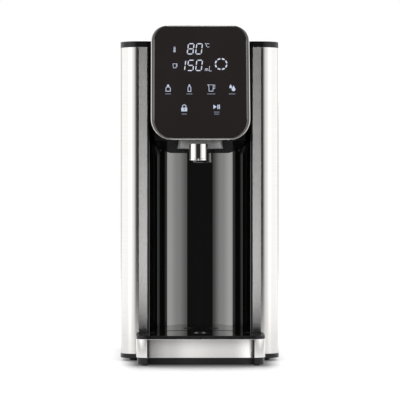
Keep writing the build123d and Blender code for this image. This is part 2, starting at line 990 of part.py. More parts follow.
def make_outlet_guard():
    """The flared skirt round the spout, open below at the front."""
    height = head_floor - guard_foot
    outside = Cone(guard_foot_radius, guard_top_radius, height)
    inside = Cone(guard_foot_radius - guard_wall, guard_top_radius - guard_wall, height)
    place = Pos(0, spout_y, guard_foot + height / 2)
    skirt = place * outside - Pos(0, 0, -guard_wall) * place * inside
    skirt -= post(holder_radius + curve_gap, spout_x, spout_y, guard_foot, head_floor)
    half = spout_radius + guard_notch_gap
    front = spout_y - guard_foot_radius - overrun
    notch_top = guard_foot + guard_notch
    return skirt - block(spout_x - half, spout_x + half, front, spout_y, guard_foot, notch_top)


def make_steam_separator():
    """The chamber above the spout, with a stub at its back for the hose."""
    high = holder_top + separator_height
    floor = holder_top + separator_wall
    inner = separator_radius - separator_wall
    can = post(separator_radius, spout_x, spout_y, holder_top, high)
    can += rod_y(stub_radius, spout_y, separator_stub_end, spout_x, separator_stub_z)
    can -= post(inner, spout_x, spout_y, floor, high - separator_wall)
    can -= post(spout_radius - spout_wall, spout_x, spout_y, holder_top, floor)
    return can - rod_y(stub_bore, spout_y, separator_stub_end, spout_x, separator_stub_z)


def tray_slab(inset, low, high):
    """The tray's outline: wide in front, with a tongue that fills the hollow."""
    wide = plan(tray_half - inset, tray_front + inset, tray_back - inset, tray_corner - inset, 0)
    half = recess_half - free_gap - inset
    tongue = recess_space(-free_gap - inset, low, high, half)
    tongue &= block(-half, half, tray_front + tray_corner, recess_back, low, high)
    return slab(wide, low, high) + tongue


def make_drip_tray():
    """The tray: a rim, a wall behind the steel band, a well, and a hollow skirt below."""
    tray = tray_slab(tray_skirt_inset, tray_foot, band_low)
    tray += tray_slab(band_sheet + slip_gap, band_low, band_high)
    tray += tray_slab(0, band_high, tray_top)
    tray -= tray_slab(tray_rim, plate_seat, tray_top)
    tray -= tray_slab(tray_rim + tray_ledge, tray_floor_low + tray_floor, plate_seat)
    tray -= tray_slab(tray_wall, tray_foot, tray_floor_low)
    slot = block(
        prong_inner - free_gap,
        prong_inner + prong_width + free_gap,
        tower_front - prong_reach,
        recess_back,
        tray_foot,
        tray_floor_low,
    )
    for piece in both_sides(slot):
        tray -= piece
    return tray


def make_tray_trim():
    """The steel band round the tray's front."""
    outer = plan(tray_half, tray_front, tray_back, tray_corner, 0)
    inner = plan(
        tray_half - band_sheet,
        tray_front + band_sheet,
        tray_back + overrun,
        tray_corner - band_sheet,
        0,
    )
    band = slab(outer, band_low, band_high) - slab(inner, band_low, band_high)
    keep = block(-tray_half, tray_half, tray_front, tray_back - band_end_gap, band_low, band_high)
    return band & keep


def make_tray_feet():
    """Small rubber feet under the tray."""
    feet = []
    x = tray_half - tray_foot_inset
    for y in (tray_front + tray_foot_inset, tray_back - tray_foot_inset):
        feet.extend(both_sides(post(tray_foot_radius, x, y, 0, tray_floor_low)))
    return feet


def make_drip_plate():
    """The gloss plate that a cup stands on, with drain holes."""
    plate = tray_slab(tray_rim + plate_gap, plate_seat, plate_top)
    plate -= post(drain_radius, 0, drain_y, plate_seat, plate_top)
    for spot in PolarLocations(drain_ring_radius, drain_ring_count):
        hole = Pos(0, drain_y, (plate_seat + plate_top) / 2) * spot
        plate -= hole * Cylinder(drain_hole_radius, plate_wall)
    return plate


def make_water_tank():
    """The clear tank, with the outlet boss under its floor."""
    tank = slab(tank_plan(0), dock_top, tank_top)
    tank -= slab(tank_plan(-tank_wall), tank_floor, tank_top)
    tank -= slab(tank_plan(-tank_wall), dock_top, tank_floor_low)
    tank += post(boss_radius, 0, socket_y, boss_foot, tank_floor_low)
    tank -= post(boss_bore, 0, socket_y, boss_seat, tank_floor)
    return tank - post(seat_bore, 0, socket_y, boss_foot, boss_seat)


def make_valve_seal():
    """The rubber washer on the outlet's seat."""
    top = boss_seat + valve_seal_wall
    return tube(boss_bore - curve_gap, seat_bore, 0, socket_y, boss_seat, top)


def make_valve_poppet():
    """The poppet, held open by the dock's pin."""
    disc = post(poppet_radius, 0, socket_y, poppet_low, poppet_high)
    stem = post(poppet_stem_radius, 0, socket_y, dock_pin_top, poppet_low)
    guide = post(poppet_guide_radius, 0, socket_y, poppet_high, poppet_high + poppet_guide_length)
    return disc + stem + guide


def make_valve_cage():
    """The bridge that guides the poppet."""
    flange_top = tank_floor + cage_flange
    cage = tube(cage_radius, boss_bore, 0, socket_y, tank_floor, flange_top)
    cage += block(
        -cage_bar_half_length,
        cage_bar_half_length,
        socket_y - cage_bar_half_width,
        socket_y + cage_bar_half_width,
        flange_top,
        flange_top + cage_bar_wall,
    )
    hole = poppet_guide_radius + slip_gap
    return cage - post(hole, 0, socket_y, flange_top, flange_top + cage_bar_wall)


def make_valve_spring():
    """The spring over the poppet, as a plain sleeve."""
    top = tank_floor + cage_flange
    return tube(spring_radius, spring_radius - spring_wire, 0, socket_y, poppet_high, top)


def make_tank_strainer():
    """The slotted cup over the outlet."""
    top = tank_floor + strainer_height
    cup = post(strainer_radius, 0, socket_y, tank_floor, top)
    cup -= post(strainer_radius - strainer_wall, 0, socket_y, tank_floor, top - strainer_wall)
    middle = (tank_floor + top) / 2
    slot = Pos(strainer_radius, 0, 0) * Box(
        strainer_radius, strainer_slot_width, strainer_slot_height
    )
    for i in range(strainer_slot_count):
        cup -= Pos(0, socket_y, middle) * Rot(0, 0, i * 360 / strainer_slot_count) * slot
    return cup


def make_float_guide():
    """The post that the level float rides on."""
    high = tank_floor + float_post_height
    guide = post(float_post_flange_radius, float_x, float_y, tank_floor, float_low)
    guide += post(float_post_radius, float_x, float_y, float_low, high)
    return guide + post(float_post_flange_radius, float_x, float_y, high, high + float_post_cap)


def make_tank_float():
    """The level float."""
    bore = float_post_radius + curve_gap
    return tube(float_radius, bore, float_x, float_y, float_low, float_low + float_height)


def make_tank_collar():
    """The black collar on the tank's rim, with the lugs of the lid and of the handle."""
    collar = slab(tank_plan(collar_out), tank_top - collar_skirt, collar_top)
    collar -= slab(tank_plan(seam), tank_top - collar_skirt, tank_top)
    inner = slab(tank_plan(-tank_wall - seam), tank_top - collar_inner_skirt, tank_top)
    inner -= slab(tank_plan(-tank_wall - collar_out), tank_top - collar_inner_skirt, tank_top)
    collar += inner
    opening = plan(opening_half, opening_front, opening_back, opening_corner, opening_corner)
    collar -= slab(opening, tank_top, collar_top)
    lug = block(lug_start, lug_end, hinge_y - lug_radius, hinge_y + lug_radius, collar_top, hinge_z)
    lug += rod_x(lug_radius, lug_start, lug_end, hinge_y, hinge_z)
    ear_end = handle_ear_x + handle_lug_wall
    ear = block(
        handle_ear_x,
        ear_end,
        handle_y - handle_lug_radius,
        handle_y + handle_lug_radius,
        collar_top,
        handle_z,
    )
    ear += rod_x(handle_lug_radius, handle_ear_x, ear_end, handle_y, handle_z)
    ear -= rod_x(handle_pin_radius, handle_ear_x, ear_end, handle_y, handle_z)
    pad_front = tank_rear - handle_pad_setback
    pad = block(
        handle_inner_half,
        handle_outer_half,
        pad_front,
        pad_front + handle_pad_length,
        collar_top,
        handle_z - handle_bar / 2 - curve_gap,
    )
    for piece in both_sides(lug) + both_sides(ear) + both_sides(pad):
        collar += piece
    collar -= rod_x(hinge_pin_radius + press_gap, -lug_end, lug_end, hinge_y, hinge_z)
    scoop_front = tank_rear + collar_out - scoop_depth
    return collar - block(
        -scoop_half, scoop_half, scoop_front, tank_rear + overrun, tank_top, collar_top
    )


def lid_plan(inset):
    """The lid's outline, set in all round."""
    corner = lid_corner - inset
    return plan(lid_half - inset, lid_front + inset, lid_back - inset, corner, corner)


def plug_plan(inset):
    """The outline of the lid's plug, set in all round."""
    corner = opening_corner - plug_gap - inset
    return plan(
        opening_half - plug_gap - inset,
        opening_front + plug_front_gap + inset,
        opening_back - plug_gap - inset,
        corner,
        corner,
    )


def make_tank_lid():
    """The lid: a hollow plate with a plug below and a hinge barrel behind."""
    roof = lid_high - lid_wall
    plug_low = collar_top - plug_drop
    lid = slab(lid_plan(0), lid_low, lid_high) - slab(lid_plan(lid_wall), lid_low, roof)
    lid += slab(plug_plan(0), plug_low, roof) - slab(plug_plan(plug_wall), plug_low, roof)
    lid += block(
        -knuckle_half,
        knuckle_half,
        lid_back - lid_wall,
        hinge_y,
        hinge_z - hinge_pin_radius - lid_lift,
        lid_high,
    )
    lid += rod_x(hinge_radius, -knuckle_half, knuckle_half, hinge_y, hinge_z)
    lid += block(
        -tab_half, tab_half, lid_front - tab_reach, lid_front + lid_wall, lid_high - tab_wall, lid_high
    )
    return lid - rod_x(hinge_pin_radius + slip_gap, -knuckle_half, knuckle_half, hinge_y, hinge_z)


def make_lid_seal():
    """The rubber band round the lid's plug."""
    low = collar_top - plug_drop + lid_seal_lift
    high = low + lid_seal_height
    return slab(plug_plan(-lid_seal_wall), low, high) - slab(plug_plan(0), low, high)


def make_lid_pins():
    """The lid's hinge pin."""
    return rod_x(hinge_pin_radius, -lug_end, lug_end, hinge_y, hinge_z)


def make_tank_handle():
    """The folding handle, laid round the lid."""
    low = handle_z - handle_bar / 2
    high = handle_z + handle_bar / 2
    inner_back = handle_back - handle_bar
    inner_corner = handle_corner - handle_bar
    bow = slab(plan(handle_outer_half, handle_y, handle_back, 0, handle_corner), low, high)
    bow -= slab(plan(handle_inner_half, handle_y - overrun, inner_back, 0, inner_corner), low, high)
    end = rod_x(handle_bar / 2, handle_inner_half, handle_outer_half, handle_y, handle_z)
    for piece in both_sides(end):
        bow += piece
    bore = handle_pin_radius + slip_gap
    return bow - rod_x(bore, -handle_outer_half, handle_outer_half, handle_y, handle_z)


def make_handle_pins():
    """The two pins that the handle turns on."""
    return both_sides(rod_x(handle_pin_radius, handle_ear_x, handle_outer_half, handle_y, handle_z))


def make_pump_mount():
    """The rubber plate under the pump."""
    return block(
        -pump_plate_half,
        pump_plate_half,
        works_y - pump_plate_half,
        works_y + pump_plate_half,
        base_floor,
        pump_base,
    )


def make_pump_housing():
    """The pump's volute, with an inlet at the back and an outlet on the left."""
    chamber_low = pump_base + floor_wall
    chamber_high = chamber_low + pump_chamber_height
    stub_back = works_y + pump_stub_end
    body = post(pump_radius, 0, works_y, pump_base, pump_top)
    body += rod_y(stub_radius, works_y, stub_back, 0, inlet_z)
    body += rod_x(stub_radius, -pump_stub_end, 0, works_y, pump_outlet_z)
    body -= post(pump_chamber_radius, 0, works_y, chamber_low, chamber_high)
    body -= rod_y(stub_bore, works_y, stub_back, 0, inlet_z)
    body -= rod_x(stub_bore, -pump_stub_end, 0, works_y, pump_outlet_z)
    return body - post(shaft_radius + slip_gap, 0, works_y, chamber_high, pump_top)


def make_pump_impeller():
    """The impeller and its shaft."""
    low = pump_base + floor_wall + impeller_lift
    disc_top = low + impeller_disc
    wheel = post(impeller_radius, 0, works_y, low, disc_top)
    blade_low = impeller_hub_radius / 2
    blade = Pos((blade_low + impeller_radius) / 2, 0, 0) * Box(
        impeller_radius - blade_low, impeller_blade_wall, impeller_blade_height
    )
    middle = disc_top + impeller_blade_height / 2
    for i in range(impeller_blade_count):
        wheel += Pos(0, works_y, middle) * Rot(0, 0, i * 360 / impeller_blade_count) * blade
    wheel += post(impeller_hub_radius, 0, works_y, low, disc_top + impeller_blade_height)
    return wheel + post(shaft_radius, 0, works_y, disc_top, disc_top + shaft_length)


def make_pump_motor():
    """The pump's motor can with two tabs."""
    can = post(motor_radius, 0, works_y, pump_top, motor_top)
    can -= post(shaft_radius + slip_gap, 0, works_y, pump_top, pump_top + motor_bore_depth)
    tab = block(
        motor_tab_x,
        motor_tab_x + motor_tab_wall,
        works_y - motor_tab_width / 2,
        works_y + motor_tab_width / 2,
        motor_top,
        motor_top + motor_tab_height,
    )
    for piece in both_sides(tab):
        can += piece
    return can


def make_flow_meter_housing():
    """The flow meter's body, with the turbine's pin inside."""
    front = works_y - meter_chamber_half
    back = works_y + meter_chamber_half
    stub_top = meter_top + stub_length
    body = block(
        meter_right - 2 * meter_half,
        meter_right,
        works_y - meter_depth_half,
        works_y + meter_depth_half,
        base_floor,
        meter_top,
    )
    body += rod_x(stub_radius, meter_right, meter_stub_right, works_y, pump_outlet_z)
    body += post(stub_radius, meter_stub_x, works_y, meter_top, stub_top)
    body -= rod_y(meter_chamber_radius, front, back, meter_x, pump_outlet_z)
    body -= rod_x(stub_bore, meter_x, meter_stub_right, works_y, pump_outlet_z)
    body -= post(stub_bore, meter_stub_x, works_y, pump_outlet_z, stub_top)
    return body + rod_y(turbine_pin_radius, front - seam, back + seam, meter_x, pump_outlet_z)


def make_flow_turbine():
    """The bladed wheel that counts the flow."""
    front = works_y - turbine_half
    back = works_y + turbine_half
    wheel = rod_y(turbine_hub_radius, front, back, meter_x, pump_outlet_z)
    blade = Pos(turbine_radius / 2, 0, 0) * Box(turbine_radius, 2 * turbine_half, turbine_blade_wall)
    for i in range(turbine_blade_count):
        turn = Rot(0, i * 360 / turbine_blade_count, 0)
        wheel += Pos(meter_x, works_y, pump_outlet_z) * turn * blade
    return wheel - rod_y(turbine_pin_radius + slip_gap, front, back, meter_x, pump_outlet_z)


def heater_slab(out, low, high):
    """The heater's outline, grown by a distance."""
    half = heater_half_width + out
    depth = heater_half_depth + out
    face = Pos(heater_x, 0, 0) * plan(
        half, works_y - depth, works_y + depth, heater_corner + out, heater_corner + out
    )
    return slab(face, low, high)


def make_heater_block():
    """The flow heater, with an inlet on its left and an outlet on top."""
    stub_left = heater_left - heater_stub_length
    stub_top = heater_high + heater_stub_length
    body = heater_slab(0, heater_low, heater_high)
    body += rod_x(stub_radius, stub_left, heater_left, works_y, heater_stub_z)
    body += post(stub_radius, spout_x, works_y, heater_high, stub_top)
    body -= rod_x(stub_bore, stub_left, spout_x, works_y, heater_stub_z)
    return body - post(stub_bore, spout_x, works_y, heater_stub_z, stub_top)


def make_heater_bracket():
    """Two straps that hold the heater to the frame."""
    straps = []
    for share in (strap_share, 1 - strap_share):
        low = heater_low + heater_height * share - strap_height / 2
        high = low + strap_height
        arm = block(
            heater_x - strap_height,
            heater_x + strap_height,
            works_y + heater_half_depth,
            frame_front,
            low,
            high,
        )
        straps.append(heater_slab(strap_wall, low, high) + arm - heater_slab(0, low, high))
    return straps


def make_thermostats():
    """Two cut-outs side by side on the heater's front."""
    face_y = works_y - heater_half_depth
    front_y = face_y - thermostat_wall
    z = (heater_low + heater_high) / 2
    pieces = []
    for side in (-1, 1):
        x = heater_x + side * thermostat_spread
        disc = rod_y(thermostat_radius, front_y, face_y, x, z)
        tab = block(
            x - thermostat_tab,
            x + thermostat_tab,
            front_y - thermostat_tab,
            front_y,
            z - thermostat_tab_wall / 2,
            z + thermostat_tab_wall / 2,
        )
        pieces.append(disc + tab)
    return pieces


def make_temperature_sensor():
    """The probe on top of the heater."""
    x = heater_x - sensor_offset
    return post(sensor_radius, x, works_y, heater_high, heater_high + sensor_height)


def hose_along(path):
    """A hose swept along a path of straight runs and arcs."""
    start = Plane(origin=path @ 0, z_dir=path % 0)
    outside = sweep(start * Circle(hose_radius), path=path)
    inside = sweep(start * Circle(stub_radius + press_gap), path=path)
    return outside - inside


def make_inlet_hose():
    """From the dock's stub to the pump."""
    front = works_y + pump_stub_end - hose_bite
    back = socket_front - stub_length + hose_bite
    outside = rod_y(hose_radius, front, back, 0, inlet_z)
    return outside - rod_y(stub_radius + press_gap, front, back, 0, inlet_z)


def make_pump_hose():
    """From the pump to the flow meter."""
    right = -pump_stub_end + hose_bite
    left = meter_stub_right - hose_bite / 2
    outside = rod_x(hose_radius, left, right, works_y, pump_outlet_z)
    return outside - rod_x(stub_radius + press_gap, left, right, works_y, pump_outlet_z)


def make_heater_hose():
    """From the flow meter up to the heater."""
    low = meter_top + stub_length - hose_bite
    right = heater_left - heater_stub_length + hose_bite
    path = FilletPolyline(
        (meter_stub_x, works_y, low),
        (meter_stub_x, works_y, heater_stub_z),
        (right, works_y, heater_stub_z),
        radius=heater_hose_bend,
    )
    return hose_along(path)


def make_outlet_hose():
    """From the heater up and forward to the chamber above the spout."""
    low = heater_high + heater_stub_length - hose_bite
    front = separator_stub_end - hose_bite
    path = FilletPolyline(
        (spout_x, works_y, low),
        (spout_x, works_y, separator_stub_z),
        (spout_x, front, separator_stub_z),
        radius=outlet_hose_bend,
    )
    return hose_along(path)


def make_power_board():
    """The mains board, upright in the right column."""
    return block(board_face_x, board_back_x, board_front_y, board_back_y, board_low, board_high)


def make_power_parts():
    """What stands on the mains board, and its standoffs."""
    length = board_back_y - board_front_y
    height = board_high - board_low
    pieces = []
    for along, up, wide, tall, deep in board_part_shares:
        y = board_front_y + length * along
        z = board_low + height * up
        pieces.append(
            block(
                board_face_x - length * deep,
                board_face_x,
                y - length * wide / 2,
                y + length * wide / 2,
                z - height * tall / 2,
                z + height * tall / 2,
            )
        )
    for y in (board_front_y + standoff_inset, board_back_y - standoff_inset):
        for z in (board_low + standoff_inset, board_high - standoff_inset):
            pieces.append(rod_x(standoff_radius, board_back_x, wing_inside, y, z))
    return pieces


def main():
    """Writes every node."""
    side = make_side_panel()
    write("base_plate", make_base_plate())
    write("rubber_feet", make_rubber_feet())
    write("housing_screws", make_housing_screws())
    write("chassis_frame", make_chassis_frame())
    write("right_side_panel", side)
    write("left_side_panel", mirror(side, about=Plane.YZ))
    write("front_panel", make_front_panel())
    write("top_cap", make_top_cap())
    write("back_cover", make_back_cover())
    write("tank_dock", make_tank_dock())
    write("dock_seal", make_dock_seal())
    write("cord_gland", make_cord_gland())
    write("head_housing", make_head_housing())
    write("head_bezel", make_head_bezel())
    write("control_glass", make_control_glass())
    write("control_board", make_control_board())
    write("display_module", make_display_module())
    write("touch_pads", make_touch_pads())
    write("steam_separator", make_steam_separator())
    write("spout_holder", make_spout_holder())
    write("spout_tube", make_spout_tube())
    write("outlet_guard", make_outlet_guard())
    write("heater_block", make_heater_block())
    write("heater_bracket", make_heater_bracket())
    write("thermostats", make_thermostats())
    write("temperature_sensor", make_temperature_sensor())
    write("pump_housing", make_pump_housing())
    write("pump_motor", make_pump_motor())
    write("pump_mount", make_pump_mount())
    write("pump_impeller", make_pump_impeller())
    write("flow_meter_housing", make_flow_meter_housing())
    write("flow_turbine", make_flow_turbine())
    write("inlet_hose", make_inlet_hose())
    write("pump_hose", make_pump_hose())
    write("heater_hose", make_heater_hose())
    write("outlet_hose", make_outlet_hose())
    write("power_board", make_power_board())
    write("power_parts", make_power_parts())
    write("drip_tray", make_drip_tray())
    write("tray_trim", make_tray_trim())
    write("tray_feet", make_tray_feet())
    write("drip_plate", make_drip_plate())
    write("water_tank", make_water_tank())
    write("tank_collar", make_tank_collar())
    write("tank_strainer", make_tank_strainer())
    write("valve_cage", make_valve_cage())
    write("valve_seal", make_valve_seal())
    write("valve_poppet", make_valve_poppet())
    write("valve_spring", make_valve_spring())
    write("float_guide", make_float_guide())
    write("tank_float", make_tank_float())
    write("tank_lid", make_tank_lid())
    write("lid_seal", make_lid_seal())
    write("lid_pins", make_lid_pins())
    write("tank_handle", make_tank_handle())
    write("handle_pins", make_handle_pins())


main()
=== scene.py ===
import json
from math import acos, cos, pi, radians, sin, tan

import bpy
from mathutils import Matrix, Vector


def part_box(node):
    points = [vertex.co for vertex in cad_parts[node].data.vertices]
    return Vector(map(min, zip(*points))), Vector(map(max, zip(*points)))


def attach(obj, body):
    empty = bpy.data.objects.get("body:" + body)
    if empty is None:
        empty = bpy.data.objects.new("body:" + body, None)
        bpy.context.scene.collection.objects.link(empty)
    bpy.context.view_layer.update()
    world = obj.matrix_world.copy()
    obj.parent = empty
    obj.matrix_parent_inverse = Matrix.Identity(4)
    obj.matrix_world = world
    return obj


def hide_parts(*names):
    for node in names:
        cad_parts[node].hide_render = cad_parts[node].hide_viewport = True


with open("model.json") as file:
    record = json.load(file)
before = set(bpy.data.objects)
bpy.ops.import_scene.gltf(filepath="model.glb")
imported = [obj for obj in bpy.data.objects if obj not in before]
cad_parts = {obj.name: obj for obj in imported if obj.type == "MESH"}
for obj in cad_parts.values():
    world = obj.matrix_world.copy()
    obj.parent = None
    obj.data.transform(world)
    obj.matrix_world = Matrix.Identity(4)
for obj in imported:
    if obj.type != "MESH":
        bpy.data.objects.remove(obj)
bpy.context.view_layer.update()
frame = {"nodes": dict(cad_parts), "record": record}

mm = 0.001

# Camera: a long lens at half the object's height, a little left of its middle
picture_width = 400
focal_pixels = 2254.7
sensor_width = 36.0
camera_place = (-0.034, -2.345, 0.162)
camera_aim = (0.0, -0.085, 0.162)

# Control head, as the frame has it
head_lean = radians(17)
rim_depth = 6.0
rim_width = 3.2
rim_end_width = 1.3
rim_ledge = 2.7
glass_depth = 0.2
glass_wall = 2.0
head_low_corner = 21.0
head_high_corner = 16.0
corner_steps = 14

# Marks on the glass: they reach into its face and stand out of it by less than its set-back
mark_near = -0.08
mark_far = -0.26
mitre_limit = 0.35
digit_width = 6.6
digit_height = 11.9
digit_pitch = 8.3
digit_stroke = 1.0
digit_gap = 0.5
digit_lean = tan(radians(7))
bar_height = 0.75

# Finishes: what noise mostly lies between, how grooves stretch it, and how uneven a glow is
noise_ends = (0.3, 0.7)
groove_stretch = (22, 22, 2200)
uneven_glow = (0.85, 1.1)

# Edges, in millimetres and angles: what is one corner, flat, rounded, and left sharp
weld_gap = 0.01
flat_angle = radians(0.5)
bevel_angle = radians(35)
bevel_steps = 3
sharp_angle = radians(40)


def add(tree, kind, inputs=(), **settings):
    """A shader node with its settings and sockets filled in."""
    made = tree.nodes.new("ShaderNode" + kind)
    for key, value in settings.items():
        setattr(made, key, value)
    for key, value in dict(inputs).items():
        made.inputs[key].default_value = value
    return made


def link(tree, source, output, target, socket):
    """A link between two nodes by the names of their sockets."""
    tree.links.new(source.outputs[output], target.inputs[socket])


def surface(
    name, low, high, rough, patch=25.0, grain=1800.0, relief=0.01, stretch=(1, 1, 1), **fixed
):
    """A finish whose colour, roughness and relief vary with noise fixed to the object."""
    material = bpy.data.materials.new(name)
    material.use_nodes = True
    tree = material.node_tree
    shader = tree.nodes["Principled BSDF"]
    for key, value in fixed.items():
        shader.inputs[key.replace("_", " ")].default_value = value
    place = add(tree, "TexCoord")
    scaled = add(tree, "Mapping", {"Scale": stretch})
    link(tree, place, "Object", scaled, "Vector")
    broad = add(tree, "TexNoise", {"Scale": patch, "Detail": 3.0, "Roughness": 0.55})
    fine = add(tree, "TexNoise", {"Scale": grain, "Detail": 2.0, "Roughness": 0.6})
    for noise in (broad, fine):
        link(tree, scaled, "Vector", noise, "Vector")
    tint = add(tree, "ValToRGB")
    for stop, position, color in zip(tint.color_ramp.elements, noise_ends, (low, high)):
        stop.position = position
        stop.color = (*color, 1)
    link(tree, broad, "Fac", tint, "Fac")
    link(tree, tint, "Color", shader, "Base Color")
    start, end = noise_ends
    least, most = rough
    ends = {"From Min": start, "From Max": end, "To Min": least, "To Max": most}
    spread = add(tree, "MapRange", ends)
    link(tree, fine, "Fac", spread, "Value")
    link(tree, spread, "Result", shader, "Roughness")
    bump = add(tree, "Bump", {"Strength": 1.0, "Distance": relief * mm})
    link(tree, fine, "Fac", bump, "Height")
    link(tree, bump, "Normal", shader, "Normal")
    return material


def brushed(name, low, high, rough, relief):
    """Steel with grooves round the object, so that highlights spread up and down."""
    steel = {"Metallic": 1.0, "Anisotropic": 0.9, "Anisotropic_Rotation": 0.25}
    material = surface(
        name, low, high, rough, patch=1.0, grain=1.0, relief=relief, stretch=groove_stretch, **steel
    )
    tree = material.node_tree
    around = add(tree, "Tangent", direction_type="RADIAL", axis="Z")
    link(tree, around, "Tangent", tree.nodes["Principled BSDF"], "Tangent")
    return material


# Of each finish: its two colours, the range of its roughness, and what else it has
steel_tones = ((0.535, 0.525, 0.515), (0.565, 0.555, 0.545))
brushed_finishes = {
    "brushed_steel": (*steel_tones, (0.165, 0.185), {"relief": 0.0008}),
    "band_steel": (*steel_tones, (0.075, 0.09), {"relief": 0.0006}),
}
plain_finishes = {
    "black_plastic": (
        (0.007, 0.007, 0.008),
        (0.010, 0.010, 0.011),
        (0.13, 0.2),
        {"relief": 0.002, "IOR": 1.3},
    ),
    "black_gloss": (
        (0.0018, 0.0018, 0.0022),
        (0.003, 0.003, 0.0035),
        (0.01, 0.03),
        {"relief": 0.0002, "IOR": 2.2},
    ),
    "plate_gloss": (
        (0.002, 0.002, 0.0025),
        (0.0035, 0.0035, 0.004),
        (0.05, 0.09),
        {"relief": 0.0004, "IOR": 1.85},
    ),
    "frame_plastic": ((0.50, 0.50, 0.48), (0.58, 0.58, 0.56), (0.45, 0.6), {"relief": 0.02}),
    "rim_steel": (
        (0.52, 0.51, 0.50),
        (0.58, 0.57, 0.56),
        (0.10, 0.15),
        {"relief": 0.0005, "Metallic": 1.0},
    ),
    "bright_steel": (
        (0.58, 0.57, 0.56),
        (0.64, 0.63, 0.62),
        (0.05, 0.09),
        {"relief": 0.0004, "Metallic": 1.0},
    ),
    "plain_steel": (
        (0.46, 0.46, 0.46),
        (0.56, 0.56, 0.55),
        (0.28, 0.42),
        {"relief": 0.01, "Metallic": 1.0},
    ),
    "black_glass": (
        (0.011, 0.0075, 0.0075),
        (0.014, 0.0095, 0.0095),
        (0.02, 0.04),
        {"relief": 0.0002, "IOR": 1.5},
    ),
    "smoke_clear": (
        (0.22, 0.22, 0.22),
        (0.27, 0.27, 0.27),
        (0.22, 0.32),
        {"relief": 0.006, "Transmission_Weight": 0.35, "IOR": 1.49},
    ),
    "tank_clear": (
        (0.62, 0.65, 0.68),
        (0.68, 0.71, 0.74),
        (0.03, 0.08),
        {"relief": 0.001, "Transmission_Weight": 0.94, "IOR": 1.49},
    ),
    "rubber": ((0.016, 0.016, 0.016), (0.026, 0.026, 0.026), (0.6, 0.8), {"relief": 0.03}),
    "hose_silicone": (
        (0.62, 0.62, 0.60),
        (0.72, 0.72, 0.70),
        (0.35, 0.5),
        {"relief": 0.01, "Transmission_Weight": 0.3},
    ),
    "heater_metal": (
        (0.55, 0.55, 0.55),
        (0.66, 0.66, 0.66),
        (0.4, 0.6),
        {"grain": 900.0, "relief": 0.05, "Metallic": 1.0},
    ),
    "board": (
        (0.012, 0.09, 0.035),
        (0.02, 0.14, 0.055),
        (0.3, 0.45),
        {"patch": 140.0, "relief": 0.02},
    ),
    "dark_parts": ((0.04, 0.04, 0.045), (0.07, 0.07, 0.08), (0.4, 0.6), {"relief": 0.02}),
    "white_plastic": ((0.72, 0.72, 0.70), (0.80, 0.80, 0.78), (0.3, 0.45), {"relief": 0.01}),
}
finishes = {}
for kind, rows in ((brushed, brushed_finishes), (surface, plain_finishes)):
    for name, (low, high, rough, own) in rows.items():
        finishes[name] = kind(name, low, high, rough, **own)


def lit(name, color, strength):
    """A glowing finish with a little unevenness."""
    material = surface(name, (0.05, 0.05, 0.05), (0.07, 0.07, 0.07), (0.3, 0.4))
    tree = material.node_tree
    shader = tree.nodes["Principled BSDF"]
    shader.inputs["Emission Color"].default_value = (*color, 1)
    place = add(tree, "TexCoord")
    noise = add(tree, "TexNoise", {"Scale": 700.0, "Detail": 1.0})
    least, most = uneven_glow
    glow = add(tree, "MapRange", {"To Min": strength * least, "To Max": strength * most})
    link(tree, place, "Object", noise, "Vector")
    link(tree, noise, "Fac", glow, "Value")
    link(tree, glow, "Result", shader, "Emission Strength")
    return material


glowing_finishes = {
    "display_light": ((0.78, 0.84, 1.0), 0.8),
    "key_light": ((0.70, 0.79, 1.0), 0.75),
    "bar_light": ((0.55, 0.62, 0.9), 0.26),
}
for name, (color, strength) in glowing_finishes.items():
    finishes[name] = lit(name, color, strength)

for row in frame["record"]["subparts"]:
    node = frame["nodes"][row["node"]]
    node.data.materials.clear()
    node.data.materials.append(finishes[row["material_slot"]])

frame["nodes"]["drip_plate"].data.materials[0] = finishes["plate_gloss"]
frame["nodes"]["tray_trim"].data.materials[0] = finishes["band_steel"]

# The spout shines inside its clear guard as it does below it, and the tray's
# rim draws no dark line across the bands that the hollow shows
for name in ("outlet_guard", "drip_tray"):
    frame["nodes"][name].visible_glossy = False

# How far the edges of the moulded and pressed parts are rounded, in millimetres
edge_rounds = {
    "top_cap": 0.9,
    "base_plate": 0.5,
    "tank_dock": 0.6,
    "drip_tray": 0.4,
    "tray_trim": 0.25,
    "drip_plate": 0.35,
    "left_side_panel": 0.15,
    "right_side_panel": 0.15,
    "outlet_guard": 0.3,
    "tank_lid": 0.8,
    "tank_collar": 0.5,
    "tank_handle": 1.0,
    "water_tank": 0.4,
    "rubber_feet": 0.3,
    "tray_feet": 0.3,
    "cord_gland": 0.4,
    "spout_holder": 0.3,
    "control_glass": 0.2,
}


def soften(name, width):
    """Rounds a frame part's edges with modifiers, so its own mesh stays as it is."""
    node = frame["nodes"][name]
    weld = node.modifiers.new("weld", "WELD")
    weld.merge_threshold = weld_gap * mm
    plain = node.modifiers.new("plain", "DECIMATE")
    plain.decimate_type = "DISSOLVE"
    plain.angle_limit = flat_angle
    edge = node.modifiers.new("edge", "BEVEL")
    edge.width = width * mm
    edge.segments = bevel_steps
    edge.limit_method = "ANGLE"
    edge.angle_limit = bevel_angle
    edge.harden_normals = True
    even = node.modifiers.new("even", "WEIGHTED_NORMAL")
    even.keep_sharp = True


for name, width in edge_rounds.items():
    soften(name, width)


def piece(name, points, faces, finish, body, smooth=False):
    """A mesh from points in millimetres, riding on a body of the frame."""
    mesh = bpy.data.meshes.new(name)
    mesh.from_pydata([[value * mm for value in point] for point in points], [], faces)
    mesh.update()
    mesh.materials.append(finishes[finish])
    for face in mesh.polygons:
        face.use_smooth = smooth
    if smooth:
        mesh.set_sharp_from_angle(angle=sharp_angle)
    made = bpy.data.objects.new(name, mesh)
    bpy.context.scene.collection.objects.link(made)
    if body:
        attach(made, body)
    return made


